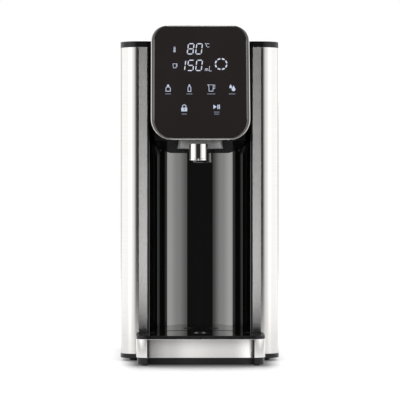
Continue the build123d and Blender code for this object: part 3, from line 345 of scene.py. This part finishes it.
def loft(rings, closed=True):
    """Points and faces of a closed skin through equal rings, joined round or capped."""
    count = len(rings[0])
    points = [point for ring in rings for point in ring]
    faces = []
    if not closed:
        last = len(points) - count
        faces = [tuple(reversed(range(count))), tuple(range(last, last + count))]
    for i in range(len(rings) if closed else len(rings) - 1):
        low, high = i * count, (i + 1) % len(rings) * count
        for j in range(count):
            k = (j + 1) % count
            faces.append((low + j, low + k, high + k, high + j))
    return points, faces


def lathe(profile, x, y, steps=64):
    """A closed skin from a closed profile of radius and height, turned about an upright axis."""
    rings = []
    for i in range(steps):
        turn = 2 * pi * i / steps
        rings.append([(x + r * cos(turn), y + r * sin(turn), z) for r, z in profile])
    return loft(rings)


rim_box = [Vector(corner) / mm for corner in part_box("head_bezel")]
head_half = (rim_box[1].x - rim_box[0].x) / 2
head_edge_z = rim_box[0].z
head_slant = (rim_box[1].z - rim_box[0].z) / cos(head_lean)
head_edge_y = rim_box[0].y


def on_head(x, up, out):
    """A place on the head's leaning front: up from its foot and out from its front plane."""
    return (
        x,
        head_edge_y + up * sin(head_lean) - out * cos(head_lean),
        head_edge_z + up * cos(head_lean) + out * sin(head_lean),
    )


def head_ring(inset, out):
    """The rim's outline at an inset: straight back outside, square to the glass inside."""
    inside = inset >= rim_width
    half = head_half - inset
    end = inset - rim_width + rim_end_width if inside else inset * rim_end_width / rim_width
    back = 0.0 if inset else -out * tan(head_lean)
    points = []
    for side, high, start in ((1, 0, -90), (1, 1, 0), (-1, 1, 90), (-1, 0, 180)):
        corner = head_high_corner if high else head_low_corner
        wide = corner - inset
        tall = wide if inside else corner / cos(head_lean) - end
        middle_x = side * (half - wide)
        middle_up = head_slant - end - tall if high else end + tall
        for i in range(corner_steps + 1):
            turn = radians(start + 90 * i / corner_steps)
            x = middle_x + wide * cos(turn)
            up = middle_up + tall * sin(turn) + back
            points.append(on_head(x, up, out))
    return points


def make_head_rim():
    """The steel rim: rounded outside, flat on top, chamfered down to the glass."""
    inner = rim_width + rim_ledge
    floor = -(glass_depth + glass_wall)
    # Inset from the outline, and height out of the front plane
    profile = (
        (0.0, -rim_depth),
        (0.0, -0.6),
        (0.05, -0.4),
        (0.2, -0.2),
        (0.42, -0.08),
        (0.75, -0.015),
        (1.1, 0.0),
        (2.7, 0.0),
        (3.0, -0.04),
        (rim_width, -0.15),
        (rim_width, floor),
        (inner, floor),
        (inner, -rim_depth),
    )
    points, faces = loft([head_ring(inset, out) for inset, out in profile])
    rim = piece("head_rim", points, faces, "rim_steel", "unit", smooth=True)
    sharp = rim.modifiers.new("even", "WEIGHTED_NORMAL")
    sharp.keep_sharp = True
    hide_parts("head_bezel")


make_head_rim()


def stroke(points, width, closed=False):
    """A band of even width along a line, as flat points and faces."""
    count = len(points)
    left, right = [], []
    for i, (x, y) in enumerate(points):
        before = points[(i - 1) % count] if closed or i > 0 else points[i]
        after = points[(i + 1) % count] if closed or i < count - 1 else points[i]
        back = Vector((x - before[0], y - before[1]))
        on = Vector((after[0] - x, after[1] - y))
        back = (back if back.length else on).normalized()
        on = (on if on.length else back).normalized()
        mean = (back + on).normalized()
        reach = width / 2 / max(mean.dot(on), mitre_limit)
        left.append((x - mean.y * reach, y + mean.x * reach))
        right.append((x + mean.y * reach, y - mean.x * reach))
    faces = []
    for i in range(count if closed else count - 1):
        k = (i + 1) % count
        faces.append((count + i, count + k, k, i))
    return left + right, faces


def fill(points):
    """A flat shape from its outline, counter-clockwise."""
    return list(points), [tuple(range(len(points)))]


def arc(x, y, radius, start=0, end=360, steps=24, tall=1.0):
    """Points of an arc; a full turn leaves out the point that would come twice."""
    count = steps if abs(end - start) == 360 else steps + 1
    turns = [radians(start + (end - start) * i / steps) for i in range(count)]
    return [(x + radius * cos(turn), y + radius * tall * sin(turn)) for turn in turns]


def moved(shape, x, y, scale=1.0):
    """A flat shape scaled and set at a place."""
    points, faces = shape
    return [(x + px * scale, y + py * scale) for px, py in points], faces


def thick(shapes, near, far, place):
    """Closed plates from flat shapes, set on a face by a function of place."""
    points, faces = [], []
    for flat, flat_faces in shapes:
        start, count = len(points), len(flat)
        points += [place(x, y, near) for x, y in flat] + [place(x, y, far) for x, y in flat]
        edges = {(face[i - 1], face[i]) for face in flat_faces for i in range(len(face))}
        for face in flat_faces:
            faces.append(tuple(start + i for i in face))
            faces.append(tuple(start + count + i for i in reversed(face)))
        for a, b in sorted(edges):
            if (b, a) not in edges:
                faces.append((start + b, start + a, start + count + a, start + count + b))
    return points, faces


segments_of = {
    "0": "abcdef",
    "1": "bc",
    "2": "abged",
    "3": "abgcd",
    "5": "afgcd",
    "8": "abcdefg",
}


def digit(text, width, height, line, gap, shear):
    """One seven-segment digit from its lower left corner."""
    half = line / 2
    bars = {
        "a": ((half, height - half), (width - half, height - half)),
        "g": ((half, height / 2), (width - half, height / 2)),
        "d": ((half, half), (width - half, half)),
        "f": ((half, height / 2), (half, height - half)),
        "b": ((width - half, height / 2), (width - half, height - half)),
        "e": ((half, half), (half, height / 2)),
        "c": ((width - half, half), (width - half, height / 2)),
    }
    shapes = []
    for name in segments_of[text]:
        (x0, y0), (x1, y1) = bars[name]
        along = Vector((x1 - x0, y1 - y0)).normalized()
        side = Vector((-along.y, along.x)) * half
        first = Vector((x0, y0)) + along * gap
        last = Vector((x1, y1)) - along * gap
        outline = (
            first,
            first + along * half - side,
            last - along * half - side,
            last,
            last - along * half + side,
            first + along * half + side,
        )
        shapes.append(fill([(p.x + p.y * shear, p.y) for p in outline]))
    return shapes


def number(text, left, low, width, height, pitch, line, gap, shear):
    """A row of digits; the left place is that of the first digit's cell."""
    shapes = []
    for i, name in enumerate(text):
        for shape in digit(name, width, height, line, gap, shear):
            shapes.append(moved(shape, left + i * pitch, low))
    return shapes


def from_top(down):
    """How far up the head a place is that is given down from its top."""
    return head_slant - down


def marks(name, shapes, finish):
    """Marks that shine through the glass."""
    points, faces = thick(shapes, mark_near, mark_far, on_head)
    return piece(name, points, faces, finish, "unit")


def readout(text, left, down):
    """Leaning digits, with their feet at a place down from the head's top."""
    size = (digit_width, digit_height, digit_pitch, digit_stroke, digit_gap, digit_lean)
    return number(text, left, from_top(down), *size)


marks("readout_digits", readout("80", -13.6, 31.1) + readout("150", -21.9, 48.6), "display_light")


def unit_marks():
    """The degree sign with its letter, and the letters of the millilitres."""
    degree = from_top(21.4)
    base = from_top(48.5)
    line = 0.42
    large_l = [(9.3, base + 5.2), (8.5, base), (11.2, base)]
    small_m = (
        [(0, 0), (0.3, 2.4)],
        [(0.25, 2.1), (1.0, 2.5), (1.5, 2.1), (1.3, 0)],
        [(1.5, 2.1), (2.3, 2.5), (2.8, 2.1), (2.6, 0)],
    )
    shapes = [
        stroke(arc(5.3, degree + 1.7, 0.42, steps=12), 0.3, closed=True),
        stroke(arc(7.8, degree, 1.75, 50, 310, tall=1.1), line),
        stroke(large_l, line),
    ]
    return shapes + [moved(stroke(part, line), 4.6, base) for part in small_m]


marks("readout_units", unit_marks(), "display_light")


def dash_ring(x, y, radius, count, length, width):
    """A ring of straight dashes."""
    shapes = []
    for i in range(count):
        turn = 2 * pi * (i + 0.5) / count
        middle = Vector((x + radius * cos(turn), y + radius * sin(turn)))
        side = Vector((-sin(turn), cos(turn))) * length / 2
        shapes.append(stroke([tuple(middle - side), tuple(middle + side)], width))
    return shapes


def thermometer():
    """A thermometer, 6.4 high about its middle."""
    tube = [(-0.8, -1.2), *arc(0, 2.2, 0.8, 180, 0, steps=8), (0.8, -1.2)]
    return [
        stroke(tube, 0.4),
        stroke(arc(0, -2.0, 1.2, 130, 410, steps=16), 0.4),
        fill(arc(0, -2.0, 0.6, steps=12)),
        fill([(-0.3, -1.2), (0.3, -1.2), (0.3, 1.9), (-0.3, 1.9)]),
    ]


def cup():
    """A small cup with a handle."""
    return [
        stroke([(-2.5, 2.6), (-2.0, -2.6), (1.4, -2.6), (1.9, 2.6)], 0.55),
        stroke([(-2.9, 2.8), (2.9, 2.8)], 0.5),
        stroke([(1.8, 1.6), (2.9, 1.6), (2.8, -0.8), (1.7, -0.8)], 0.45),
    ]


ring_dashes = dash_ring(20.6, from_top(41.2), 5.6, count=8, length=2.9, width=1.35)
marks("readout_ring", ring_dashes, "display_light")
marks(
    "readout_signs",
    [moved(shape, -25.6, from_top(25.8), 0.9) for shape in thermometer()]
    + [moved(shape, -25.2, from_top(43.2), 0.8) for shape in cup()],
    "key_light",
)


def wide_bottle():
    """A wide bottle with a domed top."""
    body = [(-2.6, -4.0), (2.6, -4.0), (2.6, -0.2), (1.6, 1.2), (-1.6, 1.2), (-2.6, -0.2)]
    dome = [(-1.7, 1.9), (1.7, 1.9), (1.2, 3.1), (0.5, 4.4), (-0.5, 4.4), (-1.2, 3.1)]
    return [stroke(body, 0.75, closed=True), fill(dome)]


def slim_bottle():
    """A slim bottle with a pointed top."""
    body = [(-1.6, -4.1), (1.6, -4.1), (1.6, 0.8), (0.9, 2.0), (-0.9, 2.0), (-1.6, 0.8)]
    top = [(-0.9, 2.6), (0.9, 2.6), (0.6, 4.3), (-0.6, 4.3)]
    return [stroke(body, 0.7, closed=True), fill(top)]


def jug():
    """A jug with a lip on the left and a handle on the right."""
    body = [(-4.2, 4.0), (-2.7, 2.8), (-2.5, -3.9), (2.1, -3.9), (2.5, 4.0)]
    handle = [(2.4, 3.6), (4.4, 3.6), (4.2, -0.6), (2.3, -0.6)]
    return [stroke(body, 0.65), stroke(handle, 0.5), stroke([(-4.2, 4.0), (2.5, 4.0)], 0.45)]


def drop(x, y, size):
    """A drop with its point up."""
    return fill(arc(x, y, size, -210, 30, steps=16) + [(x, y + size * 2.2)])


def padlock():
    """A closed padlock with a keyhole."""
    shackle = [(-2.0, 0.2), *arc(0, 1.7, 2.0, 180, 0, steps=12), (2.0, 0.2)]
    left = [(-3.3, -4.0), (-0.45, -4.0), (-0.45, 0.3), (-3.3, 0.3)]
    right = [(0.45, -4.0), (3.3, -4.0), (3.3, 0.3), (0.45, 0.3)]
    foot = [(-0.45, -4.0), (0.45, -4.0), (0.45, -2.6), (-0.45, -2.6)]
    top = [(-0.45, -0.6), (0.45, -0.6), (0.45, 0.3), (-0.45, 0.3)]
    return [stroke(shackle, 0.8), fill(left), fill(right), fill(foot), fill(top)]


def play_pause():
    """A triangle and two bars."""
    shapes = [fill([(-3.4, -2.6), (0.4, 0.0), (-3.4, 2.6)])]
    for x in (1.2, 2.9):
        shapes.append(fill([(x, -2.6), (x + 1.1, -2.6), (x + 1.1, 2.6), (x, 2.6)]))
    return shapes


def word_bar(x, down, width):
    """A plain bar in the place of a caption."""
    left, right = x - width / 2, x + width / 2
    high = from_top(down)
    low = high - bar_height
    return fill([(left, low), (right, low), (right, high), (left, high)])


# Keys: each sign with its place and scale, and each bar with its place and width
key_columns = (-32.0, -10.9, 10.6, 31.3)
key_row = from_top(66.5)
drops = [drop(-1.6, 1.2, 1.5), drop(1.6, -1.6, 2.1)]
signs = (
    (wide_bottle(), key_columns[0], key_row, 0.84),
    (slim_bottle(), key_columns[1], key_row, 0.88),
    (jug(), key_columns[2], key_row, 0.84),
    (drops, key_columns[3], key_row, 0.88),
    (padlock(), -16.1, from_top(87.4), 0.88),
    (play_pause(), 15.6, from_top(86.2), 0.86),
)
key_shapes = [moved(shape, x, y, scale) for shapes, x, y, scale in signs for shape in shapes]
marks("key_signs", key_shapes, "key_light")
bars = [(x, 72.3, width) for x, width in zip(key_columns, (5.6, 5.8, 8.0, 6.4))]
bars += [(-16.1, 93.4, 5.0), (15.9, 91.3, 5.6), (15.9, 93.4, 4.8)]
marks("key_bars", [word_bar(x, down, width) for x, down, width in bars], "bar_light")


def make_hollow():
    """The hollow black front with crisp edges, as a skin of even wall."""
    low, high = [Vector(corner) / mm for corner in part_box("front_panel")]
    wall = 2.2
    bowl_radius = 57.96
    bowl_turn = radians(33)
    side_radius = 42.7
    edge_radius = 0.8
    side_steps, bowl_steps, edge_steps = 40, 30, 7
    bowl_y = high.y - wall - bowl_radius
    side_x = (bowl_radius - side_radius) * sin(bowl_turn)
    side_y = bowl_y + (bowl_radius - side_radius) * cos(bowl_turn)
    side_turn = acos((low.y + edge_radius - side_y) / (side_radius + edge_radius))
    back_turn = acos((low.y + wall - side_y) / (side_radius + wall))
    edge_x = side_x + (side_radius + edge_radius) * sin(side_turn)
    back_x = side_x + (side_radius + wall) * sin(back_turn)

    def arcs(radius_out, start):
        """The side arc and half of the bowl, moved back by a distance."""
        line = []
        for i in range(side_steps):
            turn = start + (bowl_turn - start) * i / side_steps
            radius = side_radius + radius_out
            line.append((side_x + radius * sin(turn), side_y + radius * cos(turn)))
        for i in range(bowl_steps + 1):
            turn = bowl_turn * (1 - i / bowl_steps)
            radius = bowl_radius + radius_out
            line.append((radius * sin(turn), bowl_y + radius * cos(turn)))
        return line

    near = [(high.x, low.y)]
    far = [(high.x, low.y + wall)]
    for i in range(edge_steps):
        turn = side_turn * i / edge_steps
        near.append((edge_x - edge_radius * sin(turn), low.y + edge_radius * (1 - cos(turn))))
        far.append((high.x + (back_x - high.x) * (i + 1) / (edge_steps + 1), low.y + wall))
    near += arcs(0, side_turn)
    far += arcs(wall, back_turn)
    near += [(-x, y) for x, y in near[-2::-1]]
    far += [(-x, y) for x, y in far[-2::-1]]
    rings = []
    for (x, y), (back, deep) in zip(near, far):
        rings.append([(x, y, low.z), (x, y, high.z), (back, deep, high.z), (back, deep, low.z)])
    points, faces = loft(rings, closed=False)
    hollow = piece("hollow_front", points, faces, "black_gloss", "unit", smooth=True)
    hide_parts("front_panel")


make_hollow()


def make_spout():
    """The steel spout, with a rolled lip at its mouth."""
    low, high = [Vector(corner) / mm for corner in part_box("spout_tube")]
    centre = (low + high) / 2
    radius = (high.x - low.x) / 2
    profile = [
        (radius - 0.35, high.z),
        (radius - 0.35, low.z + 2.2),
        (radius - 0.1, low.z + 1.9),
        (radius, low.z + 1.5),
        (radius, low.z + 0.7),
        (radius - 0.2, low.z + 0.2),
        (radius - 0.7, low.z),
        (radius - 1.4, low.z),
        (radius - 1.9, low.z + 0.25),
        (radius - 2.0, low.z + 0.8),
        (radius - 2.0, high.z),
    ]
    points, faces = lathe(profile, centre.x, centre.y)
    spout = piece("spout_shell", points, faces, "bright_steel", "unit", smooth=True)
    even = spout.modifiers.new("even", "WEIGHTED_NORMAL")
    even.keep_sharp = True
    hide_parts("spout_tube")


make_spout()


def make_drain_ring():
    """A thin raised ring round the drain holes of the plate."""
    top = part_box("drip_plate")[1][2] / mm
    radius = 7.3
    drain_y = -84.0
    profile = [
        (radius - 0.4, top - 0.2),
        (radius - 0.3, top + 0.2),
        (radius, top + 0.35),
        (radius + 0.3, top + 0.2),
        (radius + 0.4, top - 0.2),
    ]
    points, faces = lathe(profile, 0, drain_y, steps=72)
    piece("drain_ring", points, faces, "black_gloss", "plate", smooth=True)


make_drain_ring()


def make_level_marks():
    """Litre marks on the back of the tank, with a number at each whole litre."""
    face_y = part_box("water_tank")[1][1] / mm
    litre = 87.7
    floor = 31.2
    left = 12.0
    digit_left = left + 16.5
    half_line = 0.5
    shapes = []
    for halves in range(1, 7):
        z = floor + litre * halves / 2
        whole = halves % 2 == 0
        right = left + (14.0 if whole else 8.0)
        low, high = z - half_line, z + half_line
        shapes.append(fill([(left, low), (right, low), (right, high), (left, high)]))
        if whole:
            shapes += number(
                str(halves // 2),
                digit_left,
                z - 4.0,
                width=4.6,
                height=8.0,
                pitch=0.0,
                line=0.9,
                gap=0.2,
                shear=0.0,
            )
    points, faces = thick(shapes, 0.06, -0.1, lambda x, z, out: (-x, face_y + out, z))
    piece("level_marks", points, faces, "white_plastic", "tank")


make_level_marks()


def make_lid_ribs():
    """Ribs for a finger on the lid's tab."""
    low, high = [Vector(corner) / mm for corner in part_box("tank_lid")]
    half, radius, pitch = 8.0, 0.35, 1.3
    shapes = []
    for i in range(4):
        y = low.y + 1.0 + i * pitch
        left_end = arc(-half, y, radius, 90, 270, steps=6)
        right_end = arc(half, y, radius, -90, 90, steps=6)
        shapes.append(fill(left_end + right_end))
    points, faces = thick(shapes, high.z + 0.3, high.z - 0.2, lambda x, y, z: (x, y, z))
    piece("lid_ribs", points, faces, "black_plastic", "lid")


make_lid_ribs()


def stage_mesh(name, points, faces, material):
    """A piece of the studio, in metres."""
    mesh = bpy.data.meshes.new(name)
    mesh.from_pydata(points, [], faces)
    mesh.update()
    mesh.materials.append(material)
    made = bpy.data.objects.new(name, mesh)
    bpy.context.scene.collection.objects.link(made)
    return made


def feed(tree, value, socket):
    """A number set on a socket, or a node's result linked to it."""
    if isinstance(value, (int, float)):
        socket.default_value = value
    else:
        tree.links.new(value, socket)


def calc(tree, operation, first, second=0.0):
    """The result of a Math node on two values, each a number or a node's result."""
    made = add(tree, "Math", operation=operation)
    feed(tree, first, made.inputs[0])
    feed(tree, second, made.inputs[1])
    return made.outputs[0]


def product(tree, first, *others):
    """The product of two or more values."""
    for other in others:
        first = calc(tree, "MULTIPLY", first, other)
    return first


def blend(tree, factor, first, second):
    """A value between two others, by a factor from 0 to 1."""
    made = add(tree, "Mix", data_type="FLOAT")
    feed(tree, factor, made.inputs[0])
    feed(tree, first, made.inputs[2])
    feed(tree, second, made.inputs[3])
    return made.outputs[0]


def step(tree, value, start, end, low=0.0, high=1.0):
    """A smooth step of a value from one level to another."""
    ends = {"From Min": start, "From Max": end, "To Min": low, "To Max": high}
    made = add(tree, "MapRange", ends, interpolation_type="SMOOTHSTEP")
    tree.links.new(value, made.inputs["Value"])
    return made.outputs["Result"]


def steps(tree, value, levels):
    """A level that changes in smooth steps along a value, from rows of place and level."""
    level = levels[0][1]
    for (start, low), (end, high) in zip(levels, levels[1:]):
        level = calc(tree, "ADD", level, step(tree, value, start, end, 0.0, high - low))
    return level


def straight(tree, path):
    """Whether the camera sees a place, also through something clear."""
    return calc(
        tree, "MAXIMUM", path.outputs["Is Camera Ray"], path.outputs["Is Transmission Ray"]
    )


def glowing(tree, strength, **sockets):
    """A shader that glows at a strength."""
    made = add(tree, "Emission", sockets)
    tree.links.new(strength, made.inputs["Strength"])
    return made.outputs[0]


# The dim room that what shines sees in front of the object
room_low = 0.035
room_high = 0.45

# The floor as the camera sees it. Its shadow is painted: a glow that ambient occlusion takes away,
# wide and deep before and behind the object, and narrow and faint beside it, where off_middle is
# past the close zone; far away it glows more
floor_tone = 0.14
floor_uneven = 1.04
floor_glow = 0.95
floor_middle = 0.0006
shade_reach = 0.17
shade_power = 6.2
close_reach = 0.025
close_power = 0.4
close_zone = (0.058, 0.084)
least_shade = 0.12
far_glow = (0.3, 1.2, 0.0, 0.6)

# The floor as what shines sees it: a strip before the tray, with a level for each place across
# as the tray's band shows it from the camera; a dim wedge on either side; bright floor outside
floor_mirrored = 1.6
mirrored_power = 1.5
tray_front = -0.145
least_ahead = 0.002
camera_ahead = 2.2
camera_left = 0.034
strip_levels = (
    (-0.055, 0.4),
    (-0.03, 1.02),
    (-0.012, 1.44),
    (0.02, 1.18),
    (0.031, 1.18),
    (0.05, 2.2),
)
strip_middle = -0.0008
strip_half = 0.0492
strip_soft = 0.0008
strip_start = (-0.15, -0.14, 1.0, 0.0)
strip_rise = (0.02, 0.36, 0.9, 1.3)
strip_end = (0.36, 0.39, 1.0, 0.0)
wedge_side = 0.0515
wedge_slope = (0.21, 0.24)


def floor_seen(tree, place, split, off_middle, sky, path):
    """The floor for the camera: matte, with a glow in which ambient occlusion paints the object's
    shadow.
    """
    noise = add(tree, "TexNoise", {"Scale": 3.0, "Detail": 2.0})
    link(tree, place, "Object", noise, "Vector")
    tint = add(tree, "ValToRGB")
    for stop, tone in zip(tint.color_ramp.elements, (floor_tone, floor_tone * floor_uneven)):
        stop.color = (tone, tone, tone, 1)
    link(tree, noise, "Fac", tint, "Fac")
    matte = add(tree, "BsdfDiffuse")
    link(tree, tint, "Color", matte, "Color")
    close = add(tree, "AmbientOcclusion", {"Distance": close_reach}, samples=8).outputs["AO"]
    wide_shade = calc(tree, "POWER", sky, shade_power)
    close_shade = calc(tree, "POWER", close, close_power)
    shade = blend(tree, step(tree, off_middle, *close_zone), wide_shade, close_shade)
    across = calc(tree, "POWER", split.outputs["X"], 2.0)
    along = calc(tree, "POWER", split.outputs["Y"], 2.0)
    far = calc(tree, "POWER", calc(tree, "ADD", across, along), 0.5)
    glow = calc(tree, "MULTIPLY", calc(tree, "MAXIMUM", shade, least_shade), floor_glow)
    glow = calc(tree, "ADD", glow, step(tree, far, *far_glow))
    both = add(tree, "AddShader")
    tree.links.new(matte.outputs[0], both.inputs[0])
    tree.links.new(glowing(tree, product(tree, glow, straight(tree, path))), both.inputs[1])
    return both.outputs[0]


def floor_in_mirrors(tree, split, off_middle, sky):
    """The floor for what shines, as a glow of its own, with painted shade near the object."""
    ahead = calc(tree, "SUBTRACT", tray_front, split.outputs["Y"])
    ahead = calc(tree, "MAXIMUM", ahead, least_ahead)
    spread = calc(tree, "DIVIDE", ahead, camera_ahead)
    shift = calc(tree, "MULTIPLY", spread, camera_left)
    across = calc(tree, "SUBTRACT", split.outputs["X"], shift)
    across = calc(tree, "DIVIDE", across, calc(tree, "ADD", spread, 1.0))
    off_strip = calc(tree, "ABSOLUTE", calc(tree, "SUBTRACT", across, strip_middle))
    front = step(tree, split.outputs["Y"], *strip_start)
    strip = product(
        tree,
        steps(tree, across, strip_levels),
        step(tree, off_strip, strip_half - strip_soft, strip_half + strip_soft, 1.0, 0.0),
        front,
        step(tree, ahead, *strip_rise),
        step(tree, ahead, *strip_end),
    )
    slope = calc(tree, "DIVIDE", calc(tree, "SUBTRACT", off_middle, wedge_side), ahead)
    behind = calc(tree, "SUBTRACT", 1.0, front)
    wide = calc(tree, "MAXIMUM", step(tree, slope, *wedge_slope), behind)
    level = calc(tree, "ADD", strip, calc(tree, "MULTIPLY", wide, floor_mirrored))
    # Painted shade: ambient occlusion darkens this glow near the object
    level = calc(tree, "MULTIPLY", level, calc(tree, "POWER", sky, mirrored_power))
    return glowing(tree, calc(tree, "ADD", level, room_low))


def make_floor():
    """A pale floor with the object's shadow painted into its glow, and that what shines sees in its
    own way.
    """
    material = bpy.data.materials.new("floor")
    material.use_nodes = True
    tree = material.node_tree
    tree.nodes.remove(tree.nodes["Principled BSDF"])
    place = add(tree, "TexCoord")
    split = add(tree, "SeparateXYZ")
    link(tree, place, "Object", split, "Vector")
    off_middle = calc(tree, "ABSOLUTE", calc(tree, "SUBTRACT", split.outputs["X"], floor_middle))
    sky = add(tree, "AmbientOcclusion", {"Distance": shade_reach}, samples=8).outputs["AO"]
    path = add(tree, "LightPath")
    mix = add(tree, "MixShader")
    tree.links.new(path.outputs["Is Glossy Ray"], mix.inputs[0])
    tree.links.new(floor_seen(tree, place, split, off_middle, sky, path), mix.inputs[1])
    tree.links.new(floor_in_mirrors(tree, split, off_middle, sky), mix.inputs[2])
    tree.links.new(mix.outputs[0], tree.nodes["Material Output"].inputs["Surface"])
    side, front, back = 2.5, -0.55, 2.2
    points = [(-side, front, 0), (side, front, 0), (side, back, 0), (-side, back, 0)]
    stage_mesh("floor", points, [(0, 1, 2, 3)], material)


make_floor()


# The cards beside the object: places across and along from above, heights, and rows of level
card_line = ((0.178, -0.445), (0.30, -0.24), (0.40, 0.0), (0.44, 0.25))
card_foot = 0.004
card_top = 0.95
left_levels = ((-0.445, 0.3), (-0.32, 1.5), (-0.224, 2.3), (-0.15, 1.75))
right_levels = ((-0.445, 0.6), (-0.32, 1.4), (-0.224, 2.1), (-0.15, 1.75))


def make_cards():
    """Two bright cards beside the object, dimmest at their front edges."""
    for name, side, levels in (("card_left", -1, left_levels), ("card_right", 1, right_levels)):
        material = bpy.data.materials.new(name)
        material.use_nodes = True
        tree = material.node_tree
        tree.nodes.remove(tree.nodes["Principled BSDF"])
        place = add(tree, "TexCoord")
        split = add(tree, "SeparateXYZ")
        link(tree, place, "Object", split, "Vector")
        level = steps(tree, split.outputs["Y"], levels)
        glow = glowing(tree, level, Color=(1.0, 0.99, 0.98, 1))
        tree.links.new(glow, tree.nodes["Material Output"].inputs["Surface"])
        points, faces = [], []
        for x, y in card_line:
            points += [(side * x, y, card_foot), (side * x, y, card_top)]
        for i in range(len(card_line) - 1):
            face = (2 * i, 2 * i + 2, 2 * i + 3, 2 * i + 1)
            faces.append(face if side < 0 else face[::-1])
        card = stage_mesh(name, points, faces, material)
        card.visible_camera = False


make_cards()


def make_lamp(name, place, aim, size, power):
    """A soft square lamp that the camera doesn't see."""
    lamp = bpy.data.lights.new(name, "AREA")
    lamp.shape = "SQUARE"
    lamp.size = size
    lamp.energy = power
    made = bpy.data.objects.new(name, lamp)
    made.location = place
    made.rotation_euler = (Vector(aim) - Vector(place)).to_track_quat("-Z", "Y").to_euler()
    made.visible_camera = False
    bpy.context.scene.collection.objects.link(made)


make_lamp("lamp_top", (0.0, 0.1, 1.5), (0.0, 0.0, 0.0), size=1.4, power=14.0)
make_lamp("lamp_back", (0.3, 1.6, 0.9), (0.0, 0.1, 0.15), size=1.2, power=14.0)


# The world by direction. The room in front of the object grows lighter up to its top; a low
# patch in it lights the foot of the steel, more on the right; behind the object it is white
ambient = 0.45
room_top = 0.9
room_back = (-0.1, 0.15)
patch_middle = -0.02
patch_sides = (0.05, 0.08, 1.0, 0.0)
patch_height = (-0.07, -0.057, 1.0, 0.0)
patch_levels = (-0.05, 0.05, 1.9, 5.2)


def make_world():
    """White behind and for the camera, and a dim room in front for what shines."""
    world = bpy.data.worlds.new("studio")
    bpy.context.scene.world = world
    world.use_nodes = True
    tree = world.node_tree
    background = tree.nodes["Background"]
    background.inputs["Color"].default_value = (1, 1, 1, 1)
    place = add(tree, "TexCoord")
    split = add(tree, "SeparateXYZ")
    link(tree, place, "Generated", split, "Vector")
    up = calc(tree, "MAXIMUM", split.outputs["Z"], 0.0)
    rise = calc(tree, "POWER", up, 2.0)
    rise = calc(tree, "MULTIPLY", rise, (room_high - room_low) / room_top**2)
    rise = calc(tree, "ADD", rise, room_low)
    off_patch = calc(tree, "ABSOLUTE", calc(tree, "SUBTRACT", split.outputs["X"], patch_middle))
    patch = product(
        tree,
        step(tree, split.outputs["Z"], *patch_height),
        step(tree, off_patch, *patch_sides),
        step(tree, split.outputs["X"], *patch_levels),
    )
    behind = step(tree, split.outputs["Y"], *room_back)
    room = blend(tree, behind, calc(tree, "ADD", rise, patch), 1.0)
    path = add(tree, "LightPath")
    indirect = blend(tree, path.outputs["Is Glossy Ray"], ambient, room)
    strength = blend(tree, straight(tree, path), indirect, 1.0)
    tree.links.new(strength, background.inputs["Strength"])


make_world()


def make_camera():
    """The photograph's view."""
    lens = bpy.data.cameras.new("camera")
    lens.sensor_width = sensor_width
    lens.lens = focal_pixels / picture_width * sensor_width
    lens.clip_start = 0.05
    lens.clip_end = 50.0
    made = bpy.data.objects.new("camera", lens)
    made.location = camera_place
    sight = Vector(camera_aim) - Vector(camera_place)
    made.rotation_euler = sight.to_track_quat("-Z", "Y").to_euler()
    bpy.context.scene.collection.objects.link(made)
    bpy.context.scene.camera = made


make_camera()
bpy.context.scene.view_settings.view_transform = "Standard"
